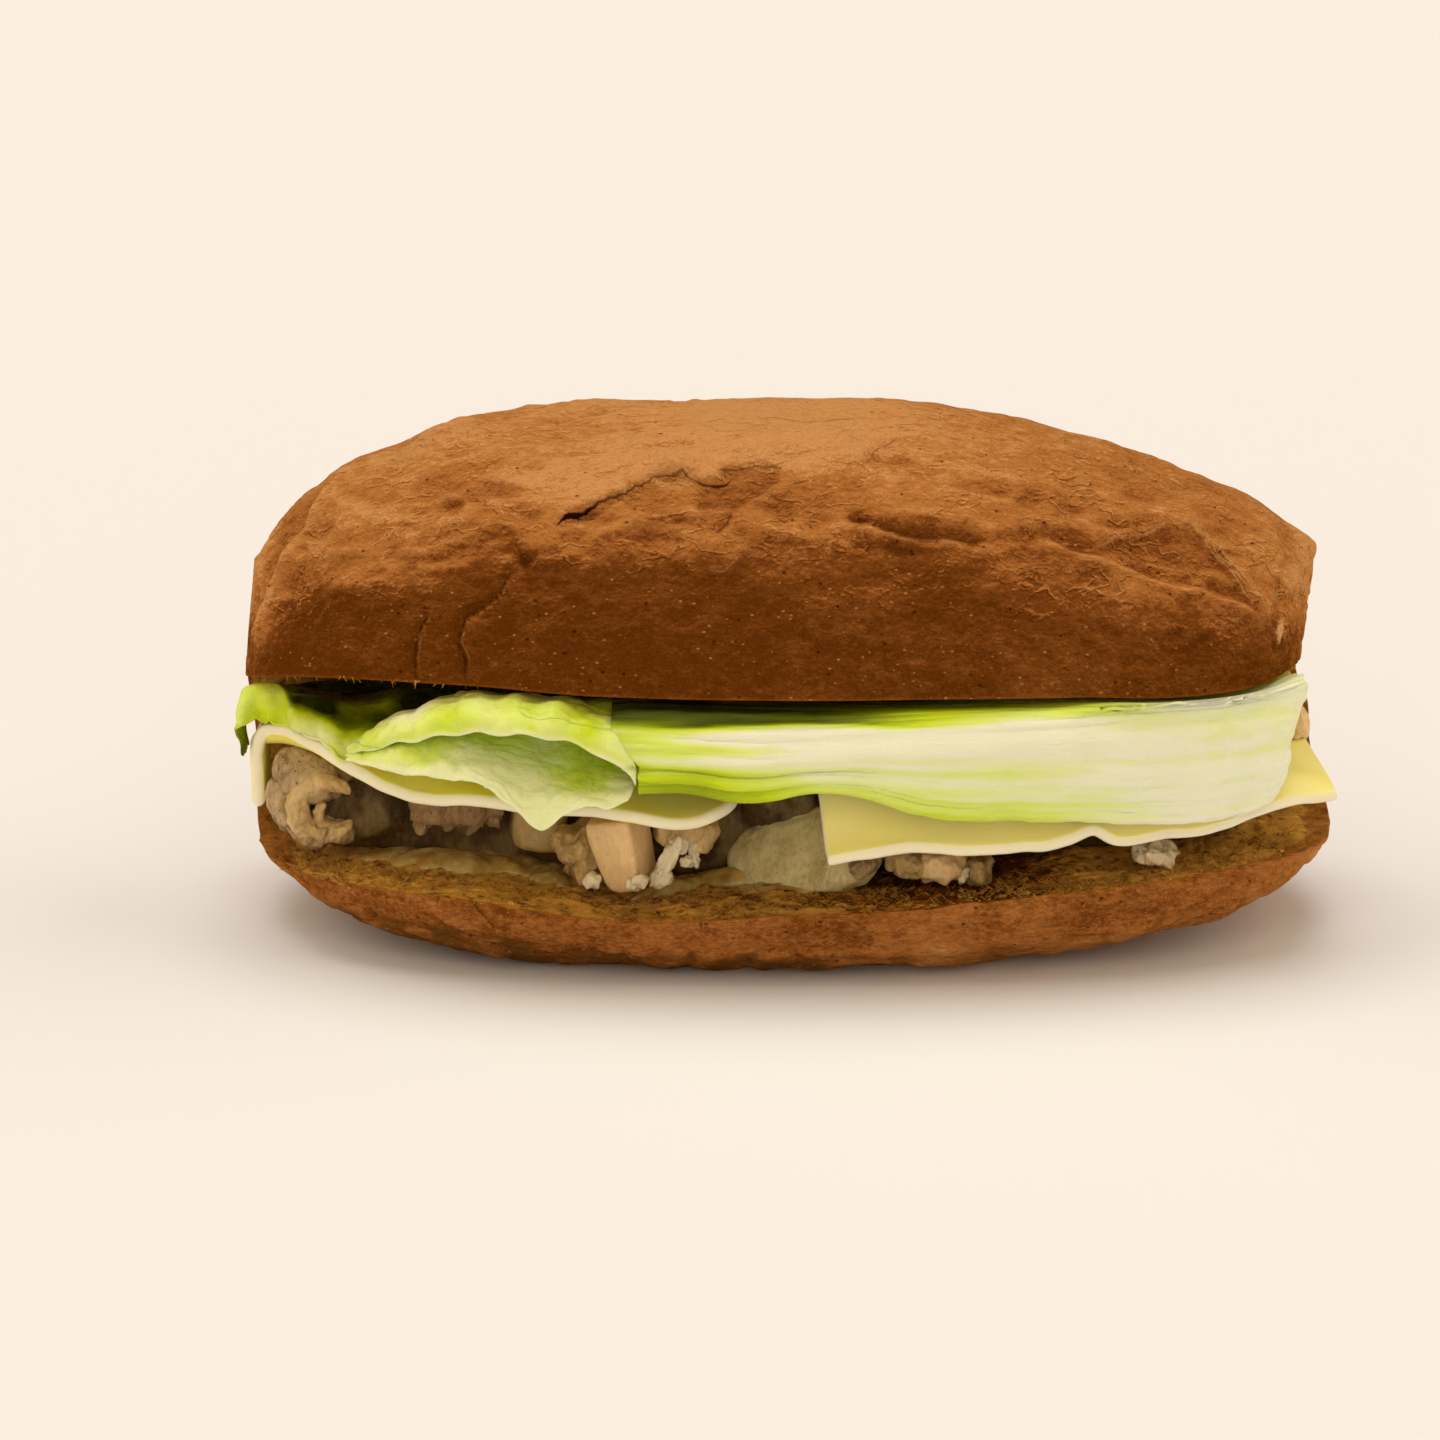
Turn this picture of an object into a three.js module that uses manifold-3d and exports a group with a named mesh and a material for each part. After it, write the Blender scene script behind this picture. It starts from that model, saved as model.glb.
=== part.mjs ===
// Shawarma baguette: a soft brown sandwich roll, slit along its front and through both ends and still
// joined along its back, filled from the bottom up with chicken, two slices of cheese and lettuce.
// Millimetres. X runs along the roll, -Y is the open front and Z is up. The roll rests on Z = 0.
import * as THREE from "three";
import { mergeVertices } from "three/addons/utils/BufferGeometryUtils.js";
import Module from "manifold-3d";

const wasm = await Module();
wasm.setup();

// Driving dimensions of the roll. Pairs are [place along X, value], or [height, value] for a reach.
const ROLL = {
  halfLength: 88,
  halfWidth: 40,
  backWidth: 43.2, // the hinged back bulges a little more than the front
  waist: 30, // height of the widest line round the roll
  planPower: 2.7, // how square the ends are, seen from above
  crownPower: 2.5, // how square the upper half is, seen from an end
  basePower: 4.5, // how square the lower half is
  crown: [
    [-88, 60.4], [-84, 66.4], [-75, 73.8], [-62, 79.3], [-45, 83.7], [-10, 85],
    [20, 84.9], [40, 81.8], [66, 74], [78, 69], [88, 63],
  ],
  belly: [
    [-88, 12.6], [-76, 6], [-62, 1.4], [-45, -1], [30, -1], [45, 0.5], [64, 3.6], [78, 8], [88, 14.5],
  ],
  leftReach: [[0, 81], [14, 86.4], [27, 86.5], [42, 87.5], [62, 85.8], [86, 85.4]],
  rightReach: [
    [0, 84], [14, 90], [20, 89.4], [27, 87.2], [36, 86.3], [44, 84], [52, 84.6], [58, 85.6],
    [64, 86.2], [86, 86.2],
  ],
  stations: 40,
  around: 44,
  lastSweep: 1.555, // a little under a right angle, so that each end closes in a narrow flat
};

// The slit: lip is the height of the lower cut edge, roof that of the upper cut at the middle of the roll.
const SLIT = {
  lip: [
    [-88, 14.6], [-60, 14.8], [-38, 12.6], [-24, 11.4], [0, 12.8], [18, 13.3], [31, 14.8],
    [60, 16.9], [76, 18.3], [88, 18],
  ],
  roof: [
    [-88, 41.3], [-76, 43.2], [-50, 43], [-30, 41.6], [0, 41], [45, 41.2], [61, 40.6], [75, 41.6],
    [84, 44.6], [90, 46],
  ],
  roofSlope: 0.18, // the upper half is hinged open, so its cut face rises to the front
  floorDip: 1.4, // the crumb is pressed down under the filling
  dipReach: 38,
  backWall: [
    [-100, -1], [-84, 4], [-70, 18], [-40, 27], [0, 29], [40, 27], [70, 18], [84, 5], [100, 0],
  ],
  wallRound: 3, // the crumb turns up into the back wall over this depth
  front: -70,
  end: 100,
  stations: 34,
  depthSteps: 6,
};

const CHEESE_THICKNESS = 2.5;
const CHEESE_HEIGHT = 33; // where a slice lies on the chicken
const LEAF_THICKNESS = 1.1;
const GAP = 0.4; // air between pieces that touch

// Mesh steps along and across each sheet.
const STEPS = { cheese: [20, 6], frill: [24, 7], fold: [18, 14], rib: [28, 13] };

const COLOURS = {
  crust: 0xa05a26,
  chicken: 0xc9b08c,
  cheese: 0xeedd8e,
  lettuce: 0xb9cf63,
  paleLettuce: 0xd3dca0,
};

// A smooth curve through [place, value] pairs, level past its ends.
function through(pairs) {
  const slope = pairs.map((pair, i) => {
    const before = pairs[Math.max(i - 1, 0)];
    const after = pairs[Math.min(i + 1, pairs.length - 1)];
    return (after[1] - before[1]) / (after[0] - before[0]);
  });
  return (x) => {
    if (x <= pairs[0][0]) return pairs[0][1];
    const i = pairs.findIndex((pair) => pair[0] >= x);
    if (i < 0) return pairs[pairs.length - 1][1];
    const [x0, y0] = pairs[i - 1];
    const [x1, y1] = pairs[i];
    const h = x1 - x0;
    const s = (x - x0) / h;
    return (
      y0 * (1 + 2 * s) * (1 - s) ** 2 +
      slope[i - 1] * h * s * (1 - s) ** 2 +
      y1 * s * s * (3 - 2 * s) +
      slope[i] * h * s * s * (s - 1)
    );
  };
}

// A smooth path through points, from 0 at the first to 1 at the last, the same share for each span.
function along(points) {
  const last = points.length - 1;
  const axes = points[0].map((_, k) => through(points.map((p, i) => [i / last, p[k]])));
  return (t) => axes.map((axis) => axis(t));
}

const mix = (a, b, t) => a + (b - a) * t;
const clamp = (t) => Math.min(Math.max(t, 0), 1);
const ease = (t) => clamp(t) ** 2 * (3 - 2 * clamp(t));
const power = (value, exponent) => Math.sign(value) * Math.abs(value) ** exponent;

const crown = through(ROLL.crown);
const belly = through(ROLL.belly);
const leftReach = through(ROLL.leftReach);
const rightReach = through(ROLL.rightReach);
const lip = through(SLIT.lip);
const roofLine = through(SLIT.roof);
const backWall = through(SLIT.backWall);

// The roll's width at a place along it, t from -1 to 1, as a share of its full width.
const planTaper = (t) => (1 - clamp(Math.abs(t)) ** ROLL.planPower) ** (1 / ROLL.planPower);

// A point on the outside of the roll: sweep runs from end to end, angle goes round it.
function skin(sweep, angle) {
  const t = power(Math.sin(sweep), 2 / ROLL.planPower);
  const x = t * ROLL.halfLength;
  const upper = Math.sin(angle) >= 0;
  const squareness = 2 / (upper ? ROLL.crownPower : ROLL.basePower);
  const rise = upper ? crown(x) - ROLL.waist : ROLL.waist - belly(x);
  const width = Math.cos(angle) > 0 ? ROLL.backWidth : ROLL.halfWidth;
  const y = width * planTaper(t) * power(Math.cos(angle), squareness);
  const z = Math.max(ROLL.waist + rise * power(Math.sin(angle), squareness), 0);
  return [t * (t < 0 ? leftReach(z) : rightReach(z)), y, z];
}

// The cut faces of the slit: the crumb below and the crumb above.
function floorAt(x, y) {
  const share = Math.min(Math.abs(y) / SLIT.dipReach, 1);
  return lip(x) - SLIT.floorDip * Math.cos((share * Math.PI) / 2);
}
const roofAt = (x, y) => roofLine(x) - SLIT.roofSlope * y;

// A solid for cutting and joining. Faces that point inwards are turned round.
function solidFrom(positions, faces) {
  const build = (triangles) =>
    new wasm.Manifold(
      new wasm.Mesh({
        numProp: 3,
        vertProperties: new Float32Array(positions),
        triVerts: new Uint32Array(triangles),
      }),
    );
  const made = build(faces);
  if (made.volume() > 0) return made;
  const turned = [];
  for (let i = 0; i < faces.length; i += 3) turned.push(faces[i], faces[i + 2], faces[i + 1]);
  return build(turned);
}

// A closed solid from rings of equally many points. Each end is closed by a ladder of faces between
// opposite points of its ring, the ones whose places in the ring add up to rungSum.
function loft(rings, rungSum) {
  const count = rings[0].length;
  const faces = [];
  for (let i = 0; i + 1 < rings.length; i++)
    for (let j = 0; j < count; j++) {
      const a = i * count + j;
      const b = i * count + ((j + 1) % count);
      faces.push(a, b, b + count, a, b + count, a + count);
    }
  const first = Math.ceil(rungSum / 2);
  for (const [ring, turned] of [[0, true], [rings.length - 1, false]])
    for (let a = first; a < first + count / 2; a++) {
      const corners = [a, a + 1, rungSum - a - 1, rungSum - a];
      const [p, q, r, s] = corners.map((j) => ring * count + ((j + count) % count));
      for (const face of [[p, q, r], [p, r, s]])
        if (new Set(face).size === 3) faces.push(...(turned ? face.reverse() : face));
    }
  return solidFrom(rings.flat(2), faces);
}

// A thin closed sheet: place(u, v) gives its middle surface, u and v from 0 to 1.
function sheet(place, [uSteps, vSteps], thickness) {
  const nudge = 1e-3;
  const at = (u, v) => new THREE.Vector3(...place(clamp(u), clamp(v)));
  const positions = [];
  for (const side of [1, -1])
    for (let i = 0; i <= uSteps; i++)
      for (let j = 0; j <= vSteps; j++) {
        const [u, v] = [i / uSteps, j / vSteps];
        const du = at(u + nudge, v).sub(at(u - nudge, v));
        const dv = at(u, v + nudge).sub(at(u, v - nudge));
        const normal = du.cross(dv).normalize();
        const p = at(u, v).addScaledVector(normal, (side * thickness) / 2);
        positions.push(p.x, p.y, p.z);
      }
  const half = (uSteps + 1) * (vSteps + 1);
  const index = (i, j) => i * (vSteps + 1) + j;
  const faces = [];
  for (let i = 0; i < uSteps; i++)
    for (let j = 0; j < vSteps; j++) {
      const [a, b, c, d] = [index(i, j), index(i + 1, j), index(i + 1, j + 1), index(i, j + 1)];
      faces.push(a, b, c, a, c, d);
      faces.push(half + a, half + c, half + b, half + a, half + d, half + c);
    }
  const rim = [];
  for (let i = 0; i < uSteps; i++) rim.push(index(i, 0));
  for (let j = 0; j < vSteps; j++) rim.push(index(uSteps, j));
  for (let i = uSteps; i > 0; i--) rim.push(index(i, vSteps));
  for (let j = vSteps; j > 0; j--) rim.push(index(0, j));
  rim.forEach((a, k) => {
    const b = rim[(k + 1) % rim.length];
    faces.push(b, a, half + a, b, half + a, half + b);
  });
  return solidFrom(positions, faces);
}

// The whole roll before it is slit.
function wholeRoll() {
  const rings = [];
  for (let i = 0; i <= ROLL.stations; i++) {
    const sweep = mix(-ROLL.lastSweep, ROLL.lastSweep, i / ROLL.stations);
    const ring = Array.from({ length: ROLL.around }, (_, j) => skin(sweep, (2 * Math.PI * j) / ROLL.around));
    rings.push(ring);
  }
  return loft(rings, ROLL.around / 2);
}

// The room inside the slit roll, inset on every side by a margin. It is open past the front and ends.
function slitRoom(margin) {
  const crowding = 1.6; // steps get closer together towards the back wall
  const rings = [];
  for (let i = 0; i <= SLIT.stations; i++) {
    const x = mix(-SLIT.end, SLIT.end, i / SLIT.stations);
    const wall = backWall(x) - margin;
    const depths = [];
    for (let j = 0; j <= SLIT.depthSteps; j++) {
      const share = 1 - (1 - j / SLIT.depthSteps) ** crowding;
      depths.push(mix(SLIT.front, wall - SLIT.wallRound, share));
    }
    const low = floorAt(x, wall) + margin;
    const high = roofAt(x, wall) - margin;
    rings.push([
      ...depths.map((y) => [x, y, floorAt(x, y) + margin]),
      ...[0.2, 0.5, 0.8].map((share) => [x, wall, mix(low, high, share)]),
      ...depths.reverse().map((y) => [x, y, roofAt(x, y) - margin]),
    ]);
  }
  return loft(rings, rings[0].length - 1);
}

// The cheese slices. Each runs from a front edge to a back edge, both drawn from one end to the other.
const CHEESE_LEFT = {
  droop: 0.3, // share of the depth over which the front hangs down
  front: along([
    [-7.5, -35.5, 30.4], [-16, -37.5, 28.2], [-28, -37, 29.3], [-39, -36, 29.2], [-49, -33.5, 29.8],
    [-59, -29.5, 29], [-68, -25, 31], [-75, -19.5, 33.8], [-80, -14.5, 35.2], [-83.6, -12.6, 34],
    [-84.8, -12, 30.4], [-84.8, -12, 26.4], [-84.8, -12, 22.5],
  ]),
  back: along([
    [-9, 21, 32], [-30, 23, 32], [-48, 20, 32.4], [-62, 13, 33], [-74, 5, 34], [-80.4, 0, 35.2],
    [-84, -1.6, 33.4], [-84.8, -2, 29], [-84.8, -2.5, 24],
  ]),
};
const CHEESE_RIGHT = {
  droop: 0.16,
  front: along([
    [6.7, -39, 22.4], [13, -39, 23.4], [19.5, -38.8, 24.5], [29, -38.2, 24], [39, -37.4, 24],
    [48, -36, 26], [56, -34, 24.4], [66, -31.5, 24.6], [77, -28, 26.3], [88.2, -24, 27.6],
  ]),
  back: along([[-6.5, 22, 32.5], [30, 23, 32.5], [52, 18, 32.5], [70, 9, 33], [84, 3, 32]]),
};

const cheesePlace = (slice) => (u, v) => {
  const farEnd = 1 / 6; // share of the length at the outer end that follows its own edges
  const front = slice.front(u);
  const back = slice.back(u);
  const straight = mix(front[2], back[2], v);
  const lying = mix(front[2], mix(CHEESE_HEIGHT, back[2], v), ease(v / slice.droop));
  const height = mix(straight, lying, clamp((1 - u) / farEnd));
  return [mix(front[0], back[0], v), mix(front[1], back[1], v), height];
};

// The large ribbed leaf on the right: it comes forward under the roof, turns down and hangs in front.
const RIB_LEAF = {
  leftTop: -27.3, // the left edge slants to the right below the seam, behind the curled leaf
  leftHem: -23.1,
  slantTop: 43.5,
  slantDrop: 5.5,
  hemRight: 76,
  topRight: 84,
  innerEdge: 10,
  wallGap: 4,
  hold: 0.97, // the leaf follows the lip of the roll from slightly nearer its middle
  seam: through([[-28, 46.3], [0, 46.4], [27, 46.2], [52, 45.4], [75, 44.2], [84, 44.8]]),
  brow: through([[-28, 42.8], [2, 41.8], [27, 43.8], [84, 43]]),
  hem: through([
    [-28, 32.6], [-17, 33.8], [-9, 32.4], [-2, 32.4], [5, 33.6], [14, 32.2], [24, 29.4], [49, 27.8],
    [66, 27.4], [76, 29.4],
  ]),
};

// Depth and height of the ribbed leaf at a place along it, from its inner edge (0) to its hem (1).
function ribSection(x, v) {
  const lipEdge = -ROLL.halfWidth * planTaper((x * RIB_LEAF.hold) / ROLL.halfLength);
  const inner = Math.min(RIB_LEAF.innerEdge, backWall(x) - RIB_LEAF.wallGap);
  const middle = mix(inner, lipEdge, 0.5);
  const section = along([
    [inner, roofAt(x, inner) - 2.2],
    [middle, roofAt(x, middle) - 2.4],
    [lipEdge + 5, Math.min(roofAt(x, lipEdge + 5) - 1.9, RIB_LEAF.seam(x) - 0.2)],
    [lipEdge - 1.2, RIB_LEAF.brow(x)],
    [lipEdge - 2.6, mix(RIB_LEAF.brow(x), RIB_LEAF.hem(x), 0.55)],
    [lipEdge - 1.6, RIB_LEAF.hem(x)],
  ]);
  const ripple = 0.45 * Math.sin(x * 0.21) + 0.25 * Math.sin(x * 0.53 + 2 * v);
  const [y, z] = section(v);
  return [y + ripple * ease(v), z];
}

function ribLeafPlace(u, v) {
  const right = mix(RIB_LEAF.topRight, RIB_LEAF.hemRight, v);
  const height = ribSection(mix(RIB_LEAF.leftTop, right, u), v)[1];
  const slant = clamp((RIB_LEAF.slantTop - height) / RIB_LEAF.slantDrop);
  const x = mix(mix(RIB_LEAF.leftTop, RIB_LEAF.leftHem, slant), right, u);
  return [x, ...ribSection(x, v)];
}

// The curled leaf on the left: a C in section that opens to the front. Its lines run from the left tip to
// the right end, where the two front edges come together: the upper edge, over the top, down the back,
// along the bottom and out to the hem with its pointed lobe.
const FOLD_LEAF = {
  left: -69.6,
  right: -24,
  slant: 0.85, // the right end leans left above the height below
  slantFrom: 38,
  shutFrom: 0.88, // share of the length where the front edges start to close
  shutShare: 0.8,
  lines: [
    [
      [-69.6, -29, 35.8], [-63.7, -33, 38.5], [-57.2, -37, 40.9], [-48.6, -39.6, 42.7],
      [-33.3, -42, 42.2], [-24, -42.8, 39],
    ],
    [[-69.6, -28.4, 36.2], [-60.5, -34.6, 41.8], [-48, -38.4, 45.4], [-35, -39.8, 45.6], [-24, -41.4, 41.4]],
    [
      [-69.6, -27.5, 36.6], [-60.5, -31.5, 42.8], [-54, -33, 45.2], [-47, -34, 46.6], [-35, -35, 46.6],
      [-24, -37, 43.4],
    ],
    [[-69.6, -27, 36.4], [-60, -26.5, 41.8], [-48, -25.5, 44.6], [-24, -26, 43.2]],
    [[-69.6, -26.6, 36], [-60, -24, 38.8], [-48, -22.3, 40.6], [-24, -23, 40]],
    [[-69.6, -27.4, 35.7], [-60, -27.5, 36.2], [-48, -27, 36.6], [-24, -28, 36.4]],
    [
      [-69.6, -28, 35.4], [-60.5, -35.4, 35.8], [-50, -37.5, 36.8], [-42, -38.5, 35.9], [-34, -39, 35],
      [-24, -40, 34.8],
    ],
    [
      [-69.6, -28.8, 35], [-60.5, -36.6, 35.3], [-53, -40, 35.2], [-47, -41, 34.4], [-42.6, -42.3, 31],
      [-38.8, -43, 27.8], [-35.4, -43, 30.4], [-31.5, -43, 32.4], [-24, -42.8, 34],
    ],
  ].map((line) => [1, 2].map((k) => through(line.map((p) => [p[0], p[k]])))),
};

function foldLeafPlace(u, v) {
  const x = mix(FOLD_LEAF.left, FOLD_LEAF.right, u);
  const shut = FOLD_LEAF.shutShare * ease((u - FOLD_LEAF.shutFrom) / (1 - FOLD_LEAF.shutFrom));
  const section = FOLD_LEAF.lines.map(([y, z]) => [y(x), z(x)]);
  const last = section.length - 1;
  const meeting = mix(section[0][1], section[last][1], 0.5);
  for (const i of [0, last]) section[i][1] = mix(section[i][1], meeting, shut);
  const [y, z] = along(section)(v);
  const right = FOLD_LEAF.right - FOLD_LEAF.slant * Math.max(0, z - FOLD_LEAF.slantFrom);
  const ruffle = 0.3 * Math.sin(0.9 * x) * ease(1 - v);
  return [mix(FOLD_LEAF.left, right, u), y, z + ruffle];
}

// The frilled leaf at the far left: it lies on the cheese and its ragged end hangs past the roll.
const FRILL_LEAF = {
  hangFrom: 0.8, // share of the length where the hanging end begins
  front: along([
    [-28, -18, 42.6], [-38, -18.5, 42.6], [-48, -18, 41], [-57, -17, 38.8], [-65, -19.5, 37.4],
    [-72, -22.5, 36.6], [-78, -17.5, 39.3], [-84, -13, 40.2], [-87.6, -12.3, 36.6], [-88, -11, 33],
  ]),
  back: along([
    [-28, 12, 37.8], [-48, 12, 37.8], [-58, 10, 37.8], [-67, 6, 38.2], [-76, 2, 38.8],
    [-83, -3, 39.4], [-87.2, -4.5, 37.2], [-88, -4.5, 33.4],
  ]),
};

function frillLeafPlace(u, v) {
  const front = FRILL_LEAF.front(u);
  const back = FRILL_LEAF.back(u);
  const [x, y, z] = front.map((value, k) => mix(value, back[k], v));
  const hang = ease((u - FRILL_LEAF.hangFrom) / (1 - FRILL_LEAF.hangFrom));
  const frill = 0.35 * hang * (1 + Math.sin(11 * v + 1));
  return [x - frill, y, z + 0.5 * Math.sin(9 * u) * Math.sin(Math.PI * v)];
}

// Chicken chunks that show, as [place, size, turn about X, Y and Z in degrees].
const CHUNKS = [
  [[-77.2, -7, 25.4], [14.6, 16, 14.5], [0, 10, 20]],
  [[-67, -15, 23.6], [15, 15, 11], [0, -8, 20]],
  [[-52.5, -22, 23.4], [16, 14, 7.5], [0, 4, 8]],
  [[-40.2, -23, 20.3], [8.8, 13, 11.5], [0, 6, 0]],
  [[-32.2, -24.5, 18.6], [7.6, 13, 10], [0, 14, 10]],
  [[-25.6, -26, 19.8], [8.4, 13, 13.5], [0, -19, 0]],
  [[-16, -24, 22.8], [10, 14, 5.5], [0, -6, 0]],
  [[0, -19, 25.3], [12, 13, 7.5], [0, -8, 0]],
  [[-2.4, -22, 18.4], [21, 14, 9.5], [-12, -14, 4]],
  [[12.3, -27, 17.2], [5, 14, 3.6], [0, -30, 0]],
  [[17.4, -26, 18.7], [7, 14, 4.6], [0, 6, 6]],
  [[24, -26, 18.3], [9, 15, 6], [6, 4, -8]],
  [[31, -25, 17.8], [5.5, 14, 5.5], [0, 30, 0]],
  [[59.2, -22, 19.2], [7.2, 13, 5], [8, 12, -12]],
  [[70, -11, 23.5], [14, 13, 9], [0, 6, -20]],
  [[78, -3, 24.5], [9, 8, 7], [0, -10, 10]],
];

// How a chunk is shaped: how square it is, how rough, and the least size that gets finer faces.
const CHUNK_SHAPE = { squareness: 0.72, roughness: 0.2, fineFrom: 9 };

// The mound that joins the chunks, hidden behind them.
const MOUND = { halfLength: 76, reach: 0.94, depth: 22, height: 14, middle: 20, stations: 18, around: 14 };

// A repeatable draw between 0 and 1.
function draws(seed) {
  let state = seed;
  return () => {
    state = (state * 16807) % 2147483647;
    return state / 2147483647;
  };
}

// One torn lump of meat: a ball with its points pushed in and out, squared off, stretched and turned.
function chunk([place, size, turn], seed) {
  const geometry = new THREE.IcosahedronGeometry(1, Math.min(...size) > CHUNK_SHAPE.fineFrom ? 2 : 1);
  geometry.deleteAttribute("normal");
  geometry.deleteAttribute("uv");
  const ball = mergeVertices(geometry, 1e-4);
  const draw = draws(seed);
  const [a, b, c] = turn.map((degrees) => THREE.MathUtils.degToRad(degrees));
  const turned = new THREE.Matrix4().makeRotationFromEuler(new THREE.Euler(a, b, c));
  const positions = [];
  const p = new THREE.Vector3();
  for (let i = 0; i < ball.attributes.position.count; i++) {
    p.fromBufferAttribute(ball.attributes.position, i);
    const bump = 1 + CHUNK_SHAPE.roughness * (draw() - 0.5);
    const pushed = p.toArray().map((v, k) => (power(v, CHUNK_SHAPE.squareness) * bump * size[k]) / 2);
    p.set(...pushed).applyMatrix4(turned);
    positions.push(p.x + place[0], p.y + place[1], p.z + place[2]);
  }
  return solidFrom(positions, Array.from(ball.index.array));
}

// One ring of the mound, at t from -1 to 1 along it.
function moundRing(t) {
  const x = t * MOUND.halfLength;
  const depth = MOUND.depth * planTaper(t);
  return Array.from({ length: MOUND.around }, (_, j) => {
    const angle = (2 * Math.PI * j) / MOUND.around;
    const lump = 1 + 0.05 * Math.sin(x * 0.33 + 2 * angle) + 0.04 * Math.sin(x * 0.71 - 3 * angle);
    const y = depth * lump * power(Math.cos(angle), 0.8);
    return [x, y, MOUND.middle + MOUND.height * lump * power(Math.sin(angle), 0.8)];
  });
}

// The heap under the cheese: a mound with the chunks fused on, kept clear of the roll and the cheese.
function chickenHeap(keepOff) {
  const rings = [];
  for (let i = 0; i <= MOUND.stations; i++) {
    const sweep = (mix(-MOUND.reach, MOUND.reach, i / MOUND.stations) * Math.PI) / 2;
    rings.push(moundRing(Math.sin(sweep)));
  }
  let heap = loft(rings, MOUND.around / 2);
  CHUNKS.forEach((piece, i) => {
    heap = heap.add(chunk(piece, 101 + 37 * i));
  });
  heap = heap.intersect(slitRoom(GAP));
  for (const solid of keepOff) heap = heap.subtract(solid);
  return heap.decompose().sort((a, b) => b.volume() - a.volume())[0];
}

// A named mesh from a solid.
function meshOf(name, solid, color, roughness) {
  const { vertProperties, triVerts, numProp } = solid.getMesh();
  const count = vertProperties.length / numProp;
  const positions = new Float32Array(count * 3);
  for (let i = 0; i < count; i++) {
    positions.set(vertProperties.subarray(i * numProp, i * numProp + 3), i * 3);
  }
  const geometry = new THREE.BufferGeometry();
  geometry.setAttribute("position", new THREE.BufferAttribute(positions, 3));
  geometry.setIndex(new THREE.BufferAttribute(triVerts, 1));
  geometry.computeVertexNormals();
  const mesh = new THREE.Mesh(geometry, new THREE.MeshStandardMaterial({ color, roughness, metalness: 0 }));
  mesh.name = name;
  return mesh;
}

const slices = [CHEESE_LEFT, CHEESE_RIGHT].map((slice) => cheesePlace(slice));
const [cheeseLeft, cheeseRight] = slices.map((place) => sheet(place, STEPS.cheese, CHEESE_THICKNESS));
const roomForCheese = slices.map((place) => sheet(place, STEPS.cheese, CHEESE_THICKNESS + 2 * GAP));
const leaf = (place, steps) => sheet(place, steps, LEAF_THICKNESS);

const sandwich = new THREE.Group();
sandwich.add(
  meshOf("bun", wholeRoll().subtract(slitRoom(0)), COLOURS.crust, 0.6),
  meshOf("chicken", chickenHeap(roomForCheese), COLOURS.chicken, 0.55),
  meshOf("cheese_left", cheeseLeft, COLOURS.cheese, 0.4),
  meshOf("cheese_right", cheeseRight, COLOURS.cheese, 0.4),
  meshOf("lettuce_frill", leaf(frillLeafPlace, STEPS.frill), COLOURS.lettuce, 0.45),
  meshOf("lettuce_fold", leaf(foldLeafPlace, STEPS.fold), COLOURS.lettuce, 0.45),
  meshOf("lettuce_rib", leaf(ribLeafPlace, STEPS.rib), COLOURS.paleLettuce, 0.45),
);

export default sandwich;
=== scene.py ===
"""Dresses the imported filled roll: crust, crumb, chicken, cheese, lettuce, sauce and loose crumbs.

Lengths in the tables and the shape functions are millimetres; Blender's own lengths are metres.
"""

import math

import bmesh  # noqa: E402
import bpy  # noqa: E402
import numpy as np  # noqa: E402
from bpy.props import FloatProperty, FloatVectorProperty, IntProperty, PointerProperty  # noqa: E402
from mathutils import Matrix, Vector  # noqa: E402


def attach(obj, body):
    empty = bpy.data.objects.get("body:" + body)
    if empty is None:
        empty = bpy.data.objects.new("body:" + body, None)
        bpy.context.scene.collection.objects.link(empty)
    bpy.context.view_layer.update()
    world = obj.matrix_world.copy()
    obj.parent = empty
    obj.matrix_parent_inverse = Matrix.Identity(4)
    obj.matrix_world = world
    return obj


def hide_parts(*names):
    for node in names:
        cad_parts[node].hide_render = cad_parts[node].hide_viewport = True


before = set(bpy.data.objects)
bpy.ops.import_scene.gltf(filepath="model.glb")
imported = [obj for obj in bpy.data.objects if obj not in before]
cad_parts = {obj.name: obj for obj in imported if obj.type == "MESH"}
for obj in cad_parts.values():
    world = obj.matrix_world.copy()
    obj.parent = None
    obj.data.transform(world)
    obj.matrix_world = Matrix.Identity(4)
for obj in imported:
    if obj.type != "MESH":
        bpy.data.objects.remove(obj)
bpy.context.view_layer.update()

bl_info = {
    "name": "Filled Roll Dresser",
    "version": (1, 0, 0),
    "blender": (4, 5, 0),
    "location": "View3D > Sidebar > Filled Roll",
    "description": "Builds the crust, crumb, chicken, cheese, lettuce and sauce of a filled sandwich roll",
    "category": "Object",
}

MM = 0.001
BODY = "root"

# ---- curves and noise ----


def through(pairs):
    """A smooth curve through [place, value, ...] rows, level past its ends."""
    rows = np.array(pairs, float)
    x, y = rows[:, 0], rows[:, 1:]
    here = np.arange(len(x))
    before, after = np.maximum(here - 1, 0), np.minimum(here + 1, len(x) - 1)
    slope = (y[after] - y[before]) / (x[after] - x[before])[:, None]

    def curve(at):
        at = np.clip(np.asarray(at, float), x[0], x[-1])
        i = np.clip(np.searchsorted(x, at), 1, len(x) - 1)
        h = (x[i] - x[i - 1])[..., None]
        s = (at - x[i - 1])[..., None] / h
        value = (
            y[i - 1] * (1 + 2 * s) * (1 - s) ** 2
            + slope[i - 1] * h * s * (1 - s) ** 2
            + y[i] * s * s * (3 - 2 * s)
            + slope[i] * h * s * s * (s - 1)
        )
        return value[..., 0] if value.shape[-1] == 1 else value

    return curve


def along(points):
    """A smooth path through points, from 0 at the first to 1 at the last."""
    return through([[i / (len(points) - 1), *p] for i, p in enumerate(points)])


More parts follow.
